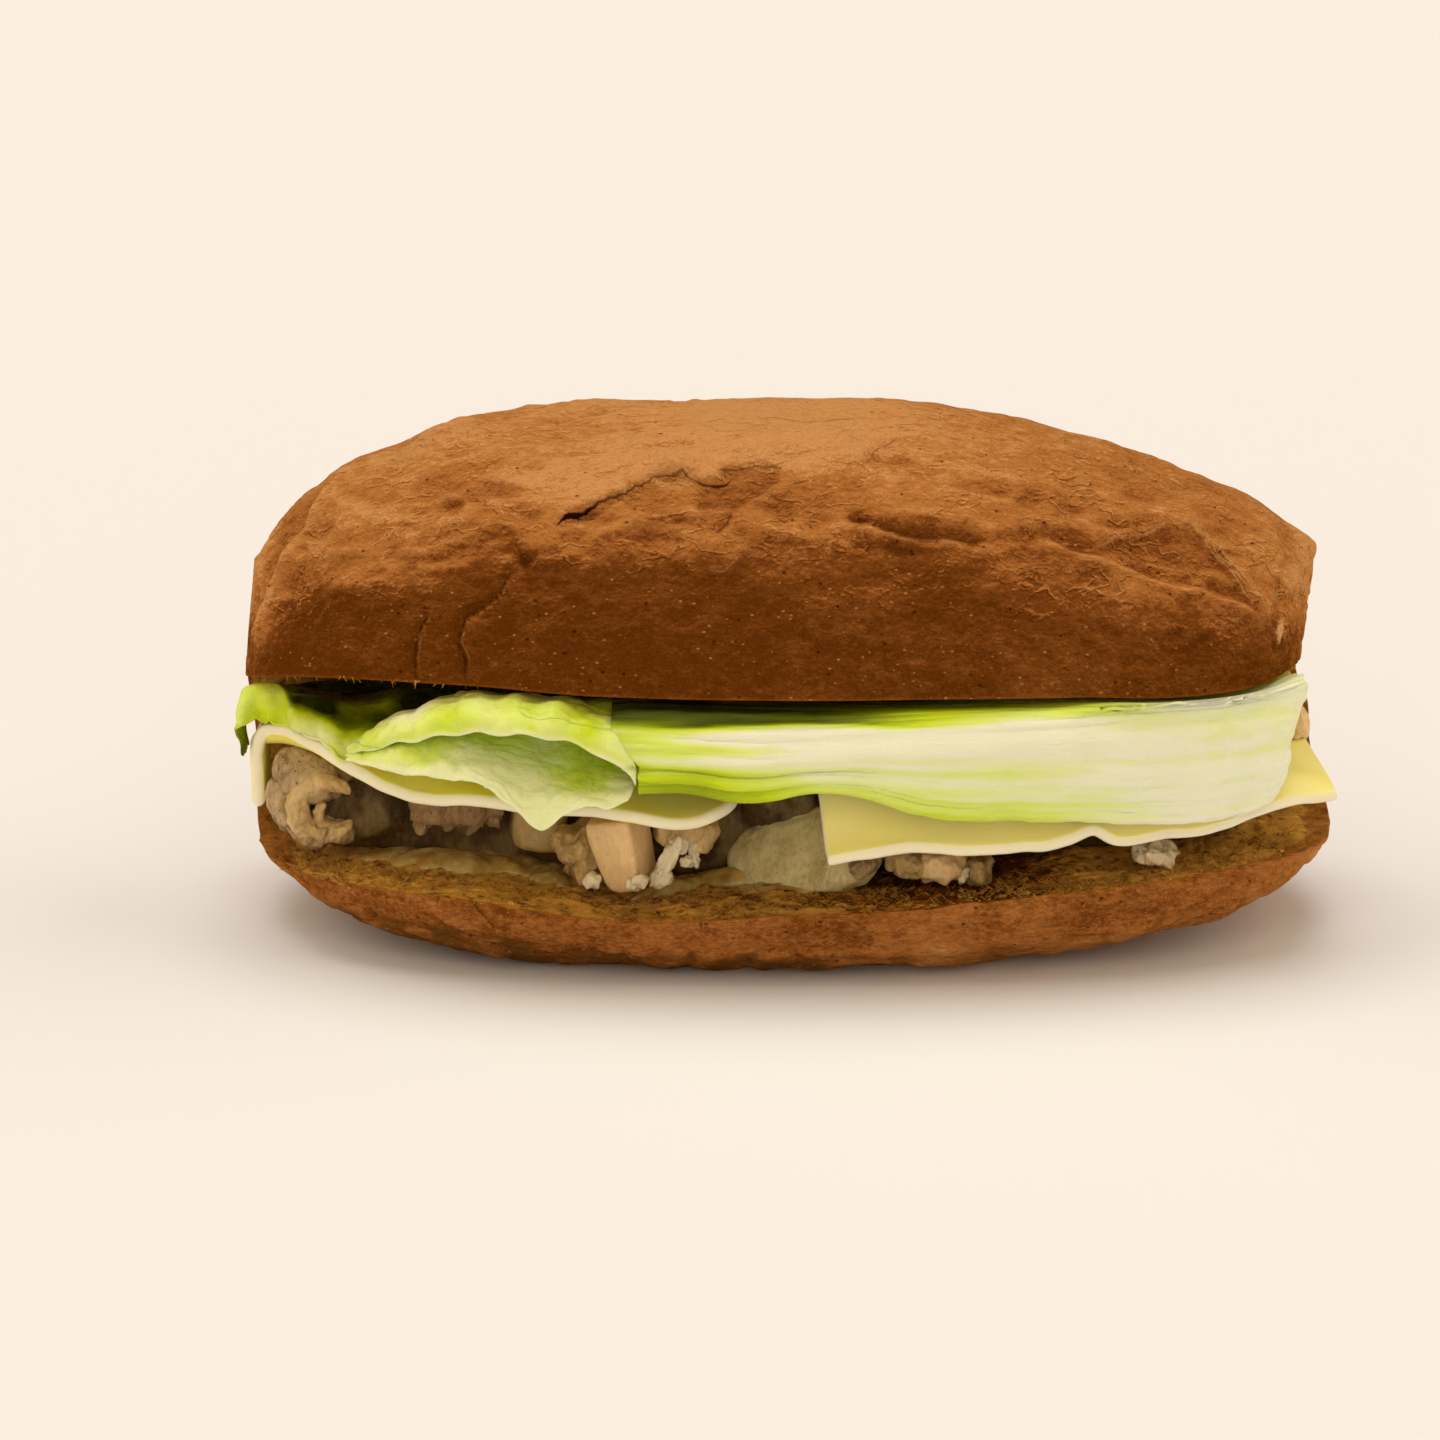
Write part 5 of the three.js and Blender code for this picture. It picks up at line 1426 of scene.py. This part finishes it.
def lump(size, squareness, roughness, seed, detail, fibre=0.0):
    """A torn lump about the origin, squared off, rough and grained; a tall one narrows to its foot."""
    points, faces = ball(detail)
    size = np.array(size, float)
    p = power(points, squareness) * size / 2
    if size[2] > 1.5 * size[0]:
        p[:, 0] *= 1 + 0.45 * p[:, 2] / size[2]
    least = size.min()
    torn = ridges(p, min(3.2, least * 0.5), seed + 5, (1, 1, 1.8))
    push = roughness * (0.4 * least * fractal(p, least * 0.55, 3, seed) + 1.1 * torn)
    grain = fibre * (noise(p, 0.9, seed + 9, (1, 1, 5)) + 0.6 * noise(p, 0.45, seed + 10, (1, 1, 3)))
    return p + points * (push + grain)[:, None], faces


def curl(middle, radius, span, thick, seed):
    """A bent thick shred: part of a ring that faces the front, with a torn surface."""
    steps, around = 90, 48
    a = np.radians(np.linspace(*span, steps))
    s = np.linspace(0, 1, steps)
    core = np.stack([radius[0] * np.cos(a), CURL_LEAN * (s - 0.5), radius[1] * np.sin(a)], -1)
    out = np.stack([np.cos(a), 0 * a, np.sin(a)], -1)
    b = 2 * math.pi * np.arange(around) / around
    girth = thick * (0.75 + 0.5 * np.sin(math.pi * s)) * np.sqrt(np.clip(1 - (2 * s - 1) ** 8, 0.02, 1))
    ring = out[:, None] * np.cos(b)[None, :, None] + np.array([0, 1, 0]) * np.sin(b)[None, :, None]
    shape = core[:, None] + ring * girth[:, None, None]
    flat = shape.reshape(-1, 3)
    push = 0.5 * fractal(flat, 2.6, 3, seed) + 0.2 * ridges(flat, 1.4, seed + 4)
    shape = shape + ring * push.reshape(steps, around)[..., None] * clamp(girth / 2)[:, None, None]
    return loft(shape + np.array(middle), around // 2)


def mound():
    """The heap behind the pieces that show."""
    steps, around = 60, 40
    t = np.sin(np.linspace(-0.94, 0.94, steps) * math.pi / 2)
    x = t[:, None] * MOUND["half_length"]
    angle = 2 * math.pi * np.arange(around) / around
    lumps = 1 + 0.05 * np.sin(x * 0.33 + 2 * angle) + 0.04 * np.sin(x * 0.71 - 3 * angle)
    y = (MOUND["depth"] * plan_taper(t))[:, None] * lumps * power(np.cos(angle), 0.8)
    z = MOUND["middle"] + MOUND["height"] * lumps * power(np.sin(angle), 0.8)
    return loft(np.stack([np.broadcast_to(x, y.shape), y, z], -1), around // 2)


def meat_paint(name, light, dark, coat, speckle, wet, grain=0.8):
    """Stringy meat from dark to light, smeared with a coat, speckled with pepper and more or less wet."""
    paint = Paint(
        name, Roughness=0.45, Specular_IOR_Level=0.45, Coat_Weight=wet, Coat_Roughness=0.25,
        Subsurface_Weight=0.22, Subsurface_Radius=(1.0, 0.6, 0.4), Subsurface_Scale=0.002,
    )  # fmt: skip
    fibre = paint.noise(1.0, 5, 0.7, (1, 1, 2.6), 0.8)
    patch = paint.noise(4.5, 3, 0.6)
    tone = paint.total((fibre, 0.8), (patch, 0.6))
    tone = paint.math("SUBTRACT", tone, 0.15)
    colour = paint.ramp(tone, [(0.34, dark), (0.55, mix_colour(dark, light, 0.6)), (0.72, light)])
    smear = paint.band(paint.noise(7, 2), 0.45, 0.6)
    colour = paint.blend(paint.times(smear, 0.35), colour, coat)
    pepper = paint.band(paint.cells(1.25), 0.19, 0.1)
    colour = paint.blend(paint.times(pepper, speckle), colour, PEPPER_COLOUR)
    height = paint.total(
        (fibre, grain), (patch, 0.25), (paint.noise(0.35, 2), 0.15 * grain), (pepper, 0.05)
    )  # fmt: skip
    return paint.finish(colour, paint.band(patch, 0.35, 0.65, 0.34, 0.55), height)


def mix_colour(a, b, t):
    return tuple(mix(x, y, t) for x, y in zip(a, b))


def meat_looks(filling):
    """One material for each look of the meat."""
    grey, grey_dark = filling.grey_meat, filling.grey_meat_dark
    pale, pale_dark = filling.pale_meat, filling.pale_meat_dark
    pink, pink_dark = filling.pink_meat, filling.pink_meat_dark
    brown, brown_dark = filling.brown_meat, filling.brown_meat_dark
    coated, coated_dark = filling.coated_light, filling.coated_dark
    cream, tan_dark = filling.cream, filling.tan_meat_dark
    dull_dark, shaded_grey = mix_colour(coated_dark, tan_dark, 0.5), mix_colour(grey, grey_dark, 0.5)
    return {
        "grey": meat_paint("chicken_grey", grey, grey_dark, pale, 0.75, 0.1),
        "pale": meat_paint("chicken_pale", pale, pale_dark, pale, 0.25, 0.12, 0.5),
        "tan": meat_paint("chicken_tan", pale, tan_dark, filling.sauce_colour, 0.5, 0.05),
        "pink": meat_paint("chicken_pink", pink, pink_dark, pale, 0.2, 0.12, 0.35),
        "white": meat_paint("chicken_white", cream, pink, cream, 0.15, 0.1),
        # A dark look for meat deep in the roll, painted shade.
        "brown": meat_paint("chicken_brown", brown, brown_dark, coated_dark, 0.3, 0.1),
        "coated": meat_paint("chicken_coated", coated, coated_dark, coated, 0.25, 0.3, 0.2),
        "dull": meat_paint("chicken_dull", coated_dark, dull_dark, coated_dark, 0.25, 0.2, 0.2),
        # A darker copy of the grey meat, painted shade on the pieces under the cheese.
        "shaded_grey": meat_paint("chicken_shaded_grey", shaded_grey, grey_dark, tan_dark, 0.6, 0.12),
    }


def build_chicken(filling):
    """The heap with its torn pieces, kept inside the slit and clear of the slices."""
    looks = meat_looks(filling)
    heap = new_object("chicken_heap", *mound(), looks["brown"])
    parts = []
    for i, (place, size, turn, look, squareness, roughness, detail) in enumerate(CHUNKS):
        points, faces = lump(size, squareness, roughness, 200 + 11 * i, detail, STRINGS[look])
        parts.append(new_object(f"chunk_{i}", points @ turn_by(turn).T + place, faces, looks[look]))
    parts += [new_object("curl", *curl(*row), looks["pale"]) for row in CURLS]
    cut(heap, "UNION", parts)
    room = new_object("room", *slit_room(BREAD_GAP), looks["coated"])
    cut(heap, "INTERSECT", [room])
    u, v = np.linspace(0, 1, 60), np.linspace(0, 1, 24)
    thickness = filling.cheese_thickness / MM + 2 * SLICE_GAP
    for name in SLICES:
        points, faces, _ = sheet(cheese_place(name), u, v, thickness, 0.01)
        cut(heap, "DIFFERENCE", [new_object("keep_off", points, faces, looks["coated"])])
    finish_piece(heap, ["chicken"], SHARP_MEAT)


# ---- sauce and crumbs ----


# Smears: middle, half sizes, thickness, seed, turn in degrees, and how far the tail on the left is drawn out.
SMEARS = [
    ((-49, -13.2), (12.6, 6.6), 2.2, 1, 2, 0.2),
    ((-38, -15), (6, 5), 1.6, 3, -10, 0),
    ((-61, -11), (8, 4.4), 1.2, 2, 16, 0),
    ((-18, -20.6), (7.4, 1.9), 2.0, 4, 38, 0.3),
    ((-8.4, -17.6), (7, 2.2), 2.2, 6, -14, 0),
    ((1, -22), (9, 4), 0.8, 5, 0, 0),
]


def smear(middle, half, thick, seed, turn, tail):
    """A thin lens of sauce that lies on the lower crumb."""
    rings, around = 26, 120
    angle = 2 * math.pi * np.arange(around) / around
    edge = 1 + 0.16 * np.sin(2 * angle + seed) + 0.1 * np.sin(3 * angle + 2 * seed)
    edge += 0.06 * np.sin(7 * angle + seed)
    edge += tail * np.exp(-((angle - math.pi) ** 2) / 0.12)
    r = np.linspace(0.04, 1, rings)[:, None]
    ax, ay = half[0] * np.cos(angle) * edge, half[1] * np.sin(angle) * edge
    c, s = math.cos(math.radians(turn)), math.sin(math.radians(turn))
    x = middle[0] + r * (ax * c - ay * s)
    y = middle[1] + r * (ax * s + ay * c)
    low = floor_at(x, y)
    flat = np.stack([x, y, low], -1).reshape(-1, 3)
    lumps = (0.25 * fractal(flat, 4, 3, seed)).reshape(x.shape)
    dome = thick * np.clip(1 - r**2, 0, 1) ** 0.7 * (1 + lumps)
    dome += 0.12 * fractal(flat, 1.8, 2, seed + 1).reshape(x.shape)
    upper = np.stack([x, y, low + np.maximum(dome, -0.2)], -1)
    lower = np.stack([x, y, low - 0.6], -1)[::-1]
    return loft(np.concatenate([upper, lower]), around // 2)


def sauce_paint(filling):
    paint = Paint(
        "sauce", Roughness=0.22, Specular_IOR_Level=0.5, Coat_Weight=0.3, Coat_Roughness=0.12,
        Subsurface_Weight=0.3, Subsurface_Radius=(1.0, 0.8, 0.3), Subsurface_Scale=0.002,
    )  # fmt: skip
    patch = paint.noise(4, 3, 0.6)
    colour = paint.ramp(patch, [
        (0.35, filling.sauce_dark), (0.6, filling.sauce_colour), (0.8, filling.sauce_light),
    ])  # fmt: skip
    height = paint.total((patch, 0.3), (paint.noise(0.8, 3), 0.06))
    return paint.finish(colour, paint.band(patch, 0.3, 0.7, 0.16, 0.34), height)


def build_sauce(filling):
    """All smears in one piece."""
    smears = [smear(*row) for row in SMEARS]
    finish_piece(join_parts("sauce_smears", smears, sauce_paint(filling)))


def scatter_lumps(count, seed, low, high, place):
    """Small torn lumps at random places given by place(draw, count), which returns points in mm."""
    draw = np.random.default_rng(seed)
    points, faces = ball(1)
    parts = []
    for middle in place(draw, count):
        size = draw.uniform(low, high) * draw.uniform(0.6, 1.4, 3)
        rough = points * (1 + 0.3 * draw.uniform(-1, 1, len(points)))[:, None]
        parts.append((rough * size @ turn_by(draw.uniform(0, 360, 3)).T + middle, faces))
    return parts


def front_edge(x):
    """Where the roll's front skin is at the height of the lower cut edge."""
    z = lip(x)
    t = x / np.where(x < 0, left_reach(z), right_reach(z))
    rise = (WAIST - z) / (WAIST - belly(t * HALF_LENGTH))
    return -HALF_WIDTH * plan_taper(t) * (1 - np.clip(rise, 0, 1) ** BASE_POWER) ** (1 / BASE_POWER)


def crumbs_on_floor(draw, count):
    x = draw.uniform(-80, 82, count)
    y = front_edge(x) + draw.uniform(0.8, 14, count)
    return np.stack([x, y, floor_at(x, y) - 0.1], -1)


def bristle(root, tip, girth):
    """A torn fibre of crumb from root to tip."""
    root, tip = np.array(root, float), np.array(tip, float)
    line = tip - root
    side = np.cross(line, [0.3, 0.5, 0.8])
    side /= np.linalg.norm(side)
    other = np.cross(line, side) / np.linalg.norm(line)
    rings = []
    for share in (0, 0.5, 1):
        middle, reach = root + share * line, girth * (1 - 0.75 * share)
        corners = [math.cos(a) * side + math.sin(a) * other for a in (0, 1.57, 3.14, 4.71)]
        rings.append([middle + reach * corner for corner in corners])
    return loft(np.array(rings), 2)


# Counts of loose crumbs, and of torn fibres on the lower and the upper cut face.
LOOSE_CRUMBS, LOWER_FIBRES, UPPER_FIBRES = 520, 3000, 28
# From where to where along the roll the fibres stand.
LOWER_SPAN, UPPER_SPAN = (-80, 83), (-80, -48)
# What the crumb's material reads on all the loose crumbs.
CRUMB_INSIDE, PAINTED_LIGHT_OF_LOOSE_CRUMBS = 4.0, 0.8
# Loose white bits of chicken: [place, size, turn in degrees].
SHREDS = [
    [[-18.9, -28.6, 18], [2.3, 2, 9.4], [0, 28, 0]], [[-19.6, -28.6, 15.6], [2.8, 2, 3.2], [0, 50, 0]],
    [[-17, -27.6, 20.6], [2.6, 2.4, 3.4], [0, -30, 0]], [[-14.6, -27.2, 19.2], [1.3, 1.6, 5], [0, -16, 0]],
    [[-15.4, -27.6, 17.8], [2.4, 1.6, 1.5], [0, 20, 0]], [[-23, -30.6, 15.6], [2.4, 1.8, 2], [0, 30, 20]],
    [[-24.6, -30.4, 15], [1.4, 1.4, 1.2], [0, 0, 0]], [[-30.6, -28.6, 14.9], [2.6, 2, 2.2], [0, 10, 0]],
    [[57, -26.5, 18.2], [2.2, 1.8, 1.6], [0, 30, 0]],
    [[61.4, -26, 18.6], [1.8, 1.6, 2.2], [0, -20, 0]], [[-81.6, -13.4, 22.8], [1.4, 1.4, 2.6], [0, 10, 0]],
    [[28.6, -30, 16.2], [1, 1, 2.6], [0, 24, 0]], [[31.4, -29.4, 15.8], [2, 1.2, 1], [0, 30, 0]],
    [[22, -30.4, 17.4], [2.6, 1.4, 1.4], [0, -10, 0]],
]  # fmt: skip


def build_crumbs():
    """Loose crumbs and torn fibres on the cut faces, and shreds of chicken."""
    draw = np.random.default_rng(5)
    parts = scatter_lumps(LOOSE_CRUMBS, 6, 0.12, 0.42, crumbs_on_floor)
    for _ in range(LOWER_FIBRES):
        x = draw.uniform(*LOWER_SPAN)
        y = float(front_edge(np.array(x))) + draw.uniform(0.7, 15)
        z = float(floor_at(x, y))
        reach = draw.uniform(0.5, 1.9) * draw.choice((-1, 1))
        tip = [x + reach, y + draw.normal(0, 0.6), z + draw.uniform(-0.1, 1.0)]
        parts.append(bristle([x, y, z - 0.35], tip, draw.uniform(0.05, 0.13)))
    for _ in range(UPPER_FIBRES):
        x = draw.uniform(*UPPER_SPAN)
        y = -HALF_WIDTH * float(plan_taper(x / 86)) + draw.uniform(0.8, 3.2)
        z = float(roof_at(x, y))
        tip_x, tip_y = x + draw.normal(0, 0.5), y + draw.normal(0, 0.3)
        tip_z = z - draw.uniform(0.2, 0.9) * draw.uniform(0.4, 1.5)
        parts.append(bristle([x, y, z + 0.4], [tip_x, tip_y, tip_z], draw.uniform(0.06, 0.2)))
    crumbs = join_parts("bread_crumbs", parts, bpy.data.materials["crumb"])
    count = len(crumbs.data.vertices)
    give(crumbs.data, inside=np.full(count, CRUMB_INSIDE), dry=np.full(count, PAINTED_LIGHT_OF_LOOSE_CRUMBS))
    finish_piece(crumbs)
    shreds = []
    for i, (place, size, turn) in enumerate(SHREDS):
        points, faces = lump(size, 0.85, 0.3, 400 + 7 * i, 4, 0.1)
        shreds.append((points @ turn_by(turn).T + place, faces))
    finish_piece(join_parts("chicken_shreds", shreds, bpy.data.materials["chicken_white"]))


# ---- stage ----


# What the camera looks at, in mm.
AIM = (-10.3, 0, 33)
# Half the side of the floor, in metres.
FLOOR_HALF = 4.0
# Degrees of sky that the fills take up, and which way each shines.
FRONT_SPREAD, SIDE_SPREAD = 70, 60
FROM_FRONT, FROM_LEFT, FROM_RIGHT = (0.05, 0.94, -0.34), (0.80, -0.05, -0.60), (-0.80, -0.05, -0.60)


def build_stage(stage):
    """The camera, the pale floor, the lights and the even light of the room."""
    scene = bpy.context.scene
    rise = math.radians(stage.camera_rise)
    aim = Vector(AIM) * MM
    away = stage.camera_distance
    camera = bpy.data.objects.new("camera", bpy.data.cameras.new("camera"))
    camera.location = aim + away * Vector((0, -math.cos(rise), math.sin(rise)))
    camera.rotation_euler = (math.pi / 2 - rise, 0, 0)
    camera.data.angle = 2 * math.atan(stage.frame_width / 2 / away)
    camera.data.clip_start = 0.01
    scene.collection.objects.link(camera)
    scene.camera = camera
    half = FLOOR_HALF
    corners = [(-half, -half, 0), (half, -half, 0), (half, half, 0), (-half, half, 0)]
    floor = bpy.data.meshes.new("floor")
    floor.from_pydata(corners, [], [(0, 1, 2, 3)])
    paint = Paint("floor", Roughness=1.0, Specular_IOR_Level=0.0)
    paint.shader.inputs["Base Color"].default_value = (*stage.floor_colour, 1)
    floor.materials.append(paint.material)
    ground = bpy.data.objects.new("floor", floor)
    scene.collection.objects.link(ground)
    warm, fill, side = stage.fill_colour, stage.fill_strength, stage.side_strength
    lamps = [
        ("overhead", stage.overhead_strength, stage.light_colour, stage.overhead_spread),
        ("front_fill", fill, warm, FRONT_SPREAD),
        ("left_fill", side, warm, SIDE_SPREAD),
        ("right_fill", side, warm, SIDE_SPREAD),
    ]
    directions = (stage.overhead_direction, FROM_FRONT, FROM_LEFT, FROM_RIGHT)
    for (name, strength, tint, degrees), direction in zip(lamps, directions):
        lamp = bpy.data.lights.new(name, "SUN")
        lamp.energy, lamp.angle, lamp.color = strength, math.radians(degrees), tint
        made = bpy.data.objects.new(name, lamp)
        made.rotation_euler = Vector(direction).to_track_quat("-Z", "Y").to_euler()
        scene.collection.objects.link(made)
    world = bpy.data.worlds.new("studio")
    world.use_nodes = True
    background = world.node_tree.nodes["Background"]
    background.inputs["Color"].default_value = (*stage.room_colour, 1)
    background.inputs["Strength"].default_value = stage.room_strength
    scene.world = world
    scene.view_settings.view_transform = "Standard"


# ---- settings, operators and panel ----


def colour(name, description, r, g, b):
    """A colour property whose default was judged on a screen, 0 to 255."""
    return FloatVectorProperty(
        name=name, description=description, subtype="COLOR", size=3, min=0, max=1, default=srgb(r, g, b)
    )


class StageSettings(bpy.types.PropertyGroup):
    camera_distance: FloatProperty(
        name="Camera distance",
        description="From the camera to the point that it looks at",
        default=0.8,
        unit="LENGTH",
    )
    camera_rise: FloatProperty(name="Camera rise", description="Degrees above the horizon", default=17.0)
    frame_width: FloatProperty(
        name="Frame width",
        description="Width of the picture at the roll",
        default=0.23616,
        unit="LENGTH",
    )
    overhead_strength: FloatProperty(
        name="Overhead light",
        description="Strength of the soft light overhead",
        default=1.42,
        min=0,
    )
    overhead_spread: FloatProperty(
        name="Overhead spread",
        description="Degrees of sky that the light fills",
        default=46,
        min=1,
        max=170,
    )
    overhead_direction: FloatVectorProperty(
        name="Overhead direction",
        description="Which way the light shines",
        default=(0.06, -0.12, -1.0),
        size=3,
    )
    fill_strength: FloatProperty(
        name="Front fill",
        description="Strength of the light from the front",
        default=1.3,
        min=0,
    )
    side_strength: FloatProperty(
        name="Side fills",
        description="Strength of the light from each side",
        default=1.08,
        min=0,
    )
    room_strength: FloatProperty(
        name="Room light",
        description="Even light from all round",
        default=0.19,
        min=0,
    )
    room_colour: colour("Room colour", "Colour of the even light", 255, 204, 146)
    light_colour: colour("Light colour", "Colour of the light overhead", 255, 254, 252)
    fill_colour: colour("Fill colour", "Colour of the fills", 255, 241, 220)
    floor_colour: colour("Floor colour", "Pale floor", 232, 233, 235)


class BreadSettings(bpy.types.PropertyGroup):
    steps_along: IntProperty(
        name="Steps along",
        description="Mesh steps along the roll",
        default=330,
        min=40,
        max=600,
    )
    steps_around: IntProperty(
        name="Steps around",
        description="Mesh steps round the roll, an even number",
        default=250,
        min=40,
        max=400,
    )
    steps_deep: IntProperty(
        name="Steps deep",
        description="Mesh steps into the part of the cut that shows",
        default=84,
        min=20,
        max=200,
    )
    relief: FloatProperty(
        name="Crust relief",
        description="How strong wrinkles and cracks are",
        default=1.0,
        min=0,
        max=2,
    )
    tear: FloatProperty(
        name="Crumb relief",
        description="How torn the crumb is",
        default=1.0,
        min=0,
        max=2,
    )
    # Painted sheen on the crown; the crust colours from here to the low side also carry painted shade, darker
    # where the overhead light falls less.
    sheen_colour: colour("Top of the crown", "Palest crust, in the middle of the top", 214, 154, 94)
    crown_colour: colour("Crown", "Crust on top of the roll", 194, 130, 68)
    shoulder_colour: colour("Shoulder", "Crust on the shoulders", 177, 112, 55)
    side_colour: colour("Side", "Crust on the sides", 133, 76, 29)
    low_colour: colour("Low side", "Crust low on the upper half", 103, 54, 11)
    base_colour: colour("Base", "Dull patches under the roll", 114, 74, 30)
    fleck_colour: colour("Flecks", "Pale flecks of bran and flour", 214, 152, 88)
    # Painted highlight on the lit edges of cracks, ridges and folds.
    gloss_colour: colour("Pale edges", "Thin pale edges of cracks", 222, 172, 112)
    # Pores, and also the painted shadow in the depth of cracks.
    pore_and_crack_shadow_colour: colour("Pores", "Pores and the depth of cracks", 44, 18, 4)
    crumb_colour: colour("Crumb", "Cut crumb", 180, 112, 34)
    # Also the painted shade in the crumb's holes.
    crumb_deep_colour: colour("Crumb holes", "Holes in the crumb", 100, 52, 10)
    crumb_light_colour: colour("Crumb edges", "Torn edges of the crumb", 248, 184, 84)
    rim_colour: colour("Crumb rim", "Crumb and crust where they meet", 176, 102, 34)


class FillingSettings(bpy.types.PropertyGroup):
    cheese_thickness: FloatProperty(
        name="Slice thickness",
        description="Thickness of a cheese slice",
        default=0.0025,
        min=0.001,
        max=0.004,
        unit="LENGTH",
    )
    cheese_colour: colour("Cheese", "Face of a slice", 250, 236, 78)
    cheese_light_colour: colour("Cheese, light", "Paler clouds in a slice", 250, 238, 158)
    cheese_cut_colour: colour("Cheese edge", "Cut edge of a slice", 244, 236, 204)
    grey_meat: colour("Grey meat", "Torn grey chicken", 206, 176, 128)
    grey_meat_dark: colour("Grey meat, dark", "Its deeper parts", 122, 88, 38)
    pale_meat: colour("Pale meat", "Pale chicken", 218, 188, 128)
    pale_meat_dark: colour("Pale meat, dark", "Its deeper parts", 168, 128, 74)
    pink_meat: colour("Pink meat", "Pinkish chicken", 242, 212, 156)
    pink_meat_dark: colour("Pink meat, dark", "Its deeper parts", 226, 180, 124)
    cream: colour("White meat", "White shreds and fat", 250, 236, 204)
    tan_meat_dark: colour("Tan meat", "Crumbly browned chicken", 138, 96, 32)
    # Meat deep in the roll, painted darker as shade.
    brown_meat: colour("Brown meat", "Chicken deep in the roll", 102, 72, 22)
    brown_meat_dark: colour("Brown meat, dark", "Its deeper parts", 54, 34, 5)
    coated_light: colour("Coated meat", "Chicken under thin sauce", 240, 226, 168)
    coated_dark: colour("Coated meat, dark", "Its thinner parts", 184, 162, 104)
    sauce_colour: colour("Sauce", "Cream sauce", 198, 170, 96)
    sauce_dark: colour("Sauce, dark", "Thin sauce over crumb", 158, 120, 56)
    sauce_light: colour("Sauce, light", "Thick sauce", 222, 200, 136)


class LeafSettings(bpy.types.PropertyGroup):
    # Painted shade where a leaf goes in under the roll.
    painted_shade_green: colour("Deep green", "Leaf deep under the roll", 26, 36, 0)
    dark_green: colour("Dark green", "Dark parts of a leaf", 116, 132, 6)
    green: colour("Green", "Fresh leaf", 196, 218, 30)
    light_green: colour("Light green", "Thin parts of a leaf", 218, 236, 118)
    pale_green: colour("Pale green", "Leaf edges", 232, 240, 180)
    rib_colour: colour("Rib", "Ribbed leaf", 236, 240, 212)
    # Pale veins, and on the ribbed leaf also painted glossy streaks.
    vein_and_gloss_colour: colour("Veins", "Veins", 238, 244, 210)


class ROLL_OT_stage(bpy.types.Operator):
    """Make the camera, the lights and the pale floor"""

    bl_idname = "filled_roll.stage"
    bl_label = "Stage"

    def execute(self, context):
        build_stage(context.scene.roll_stage)
        return {"FINISHED"}


class ROLL_OT_bread(bpy.types.Operator):
    """Build the roll with its crust, tears and cut crumb"""

    bl_idname = "filled_roll.bread"
    bl_label = "Bread"

    def execute(self, context):
        build_bun(context.scene.roll_bread)
        return {"FINISHED"}


class ROLL_OT_cheese(bpy.types.Operator):
    """Build both slices of cheese"""

    bl_idname = "filled_roll.cheese"
    bl_label = "Cheese"

    def execute(self, context):
        build_cheese(context.scene.roll_filling)
        return {"FINISHED"}


class ROLL_OT_lettuce(bpy.types.Operator):
    """Build the ribbed, the curled and the frilled leaf"""

    bl_idname = "filled_roll.lettuce"
    bl_label = "Lettuce"

    def execute(self, context):
        build_lettuce(context.scene.roll_leaves)
        return {"FINISHED"}


class ROLL_OT_chicken(bpy.types.Operator):
    """Build the heap of torn chicken"""

    bl_idname = "filled_roll.chicken"
    bl_label = "Chicken"

    def execute(self, context):
        build_chicken(context.scene.roll_filling)
        return {"FINISHED"}


class ROLL_OT_sauce(bpy.types.Operator):
    """Lay smears of sauce on the crumb"""

    bl_idname = "filled_roll.sauce"
    bl_label = "Sauce"

    def execute(self, context):
        build_sauce(context.scene.roll_filling)
        return {"FINISHED"}


class ROLL_OT_crumbs(bpy.types.Operator):
    """Scatter crumbs, torn fibres of bread and shreds of chicken"""

    bl_idname = "filled_roll.crumbs"
    bl_label = "Crumbs"

    def execute(self, context):
        build_crumbs()
        return {"FINISHED"}


OPERATORS = (
    ROLL_OT_stage,
    ROLL_OT_bread,
    ROLL_OT_cheese,
    ROLL_OT_lettuce,
    ROLL_OT_chicken,
    ROLL_OT_sauce,
    ROLL_OT_crumbs,
)
SETTINGS = {
    "roll_stage": StageSettings,
    "roll_bread": BreadSettings,
    "roll_filling": FillingSettings,
    "roll_leaves": LeafSettings,
}


class ROLL_PT_panel(bpy.types.Panel):
    """Lists the steps that build the filled roll"""

    bl_label = "Filled Roll"
    bl_idname = "ROLL_PT_panel"
    bl_space_type = "VIEW_3D"
    bl_region_type = "UI"
    bl_category = "Filled Roll"

    def draw(self, context):
        for operator in OPERATORS:
            self.layout.operator(operator.bl_idname)
        for name, group in SETTINGS.items():
            box = self.layout.box()
            for key in group.__annotations__:
                box.prop(getattr(context.scene, name), key)


def register():
    for cls in (*SETTINGS.values(), *OPERATORS, ROLL_PT_panel):
        bpy.utils.register_class(cls)
    for name, group in SETTINGS.items():
        setattr(bpy.types.Scene, name, PointerProperty(type=group))


def unregister():
    for name in SETTINGS:
        delattr(bpy.types.Scene, name)
    for cls in (ROLL_PT_panel, *reversed(OPERATORS), *SETTINGS.values()):
        bpy.utils.unregister_class(cls)


def main():
    register()
    for operator in OPERATORS:
        group, name = operator.bl_idname.split(".")
        getattr(getattr(bpy.ops, group), name)()


if __name__ == "__main__":
    main()
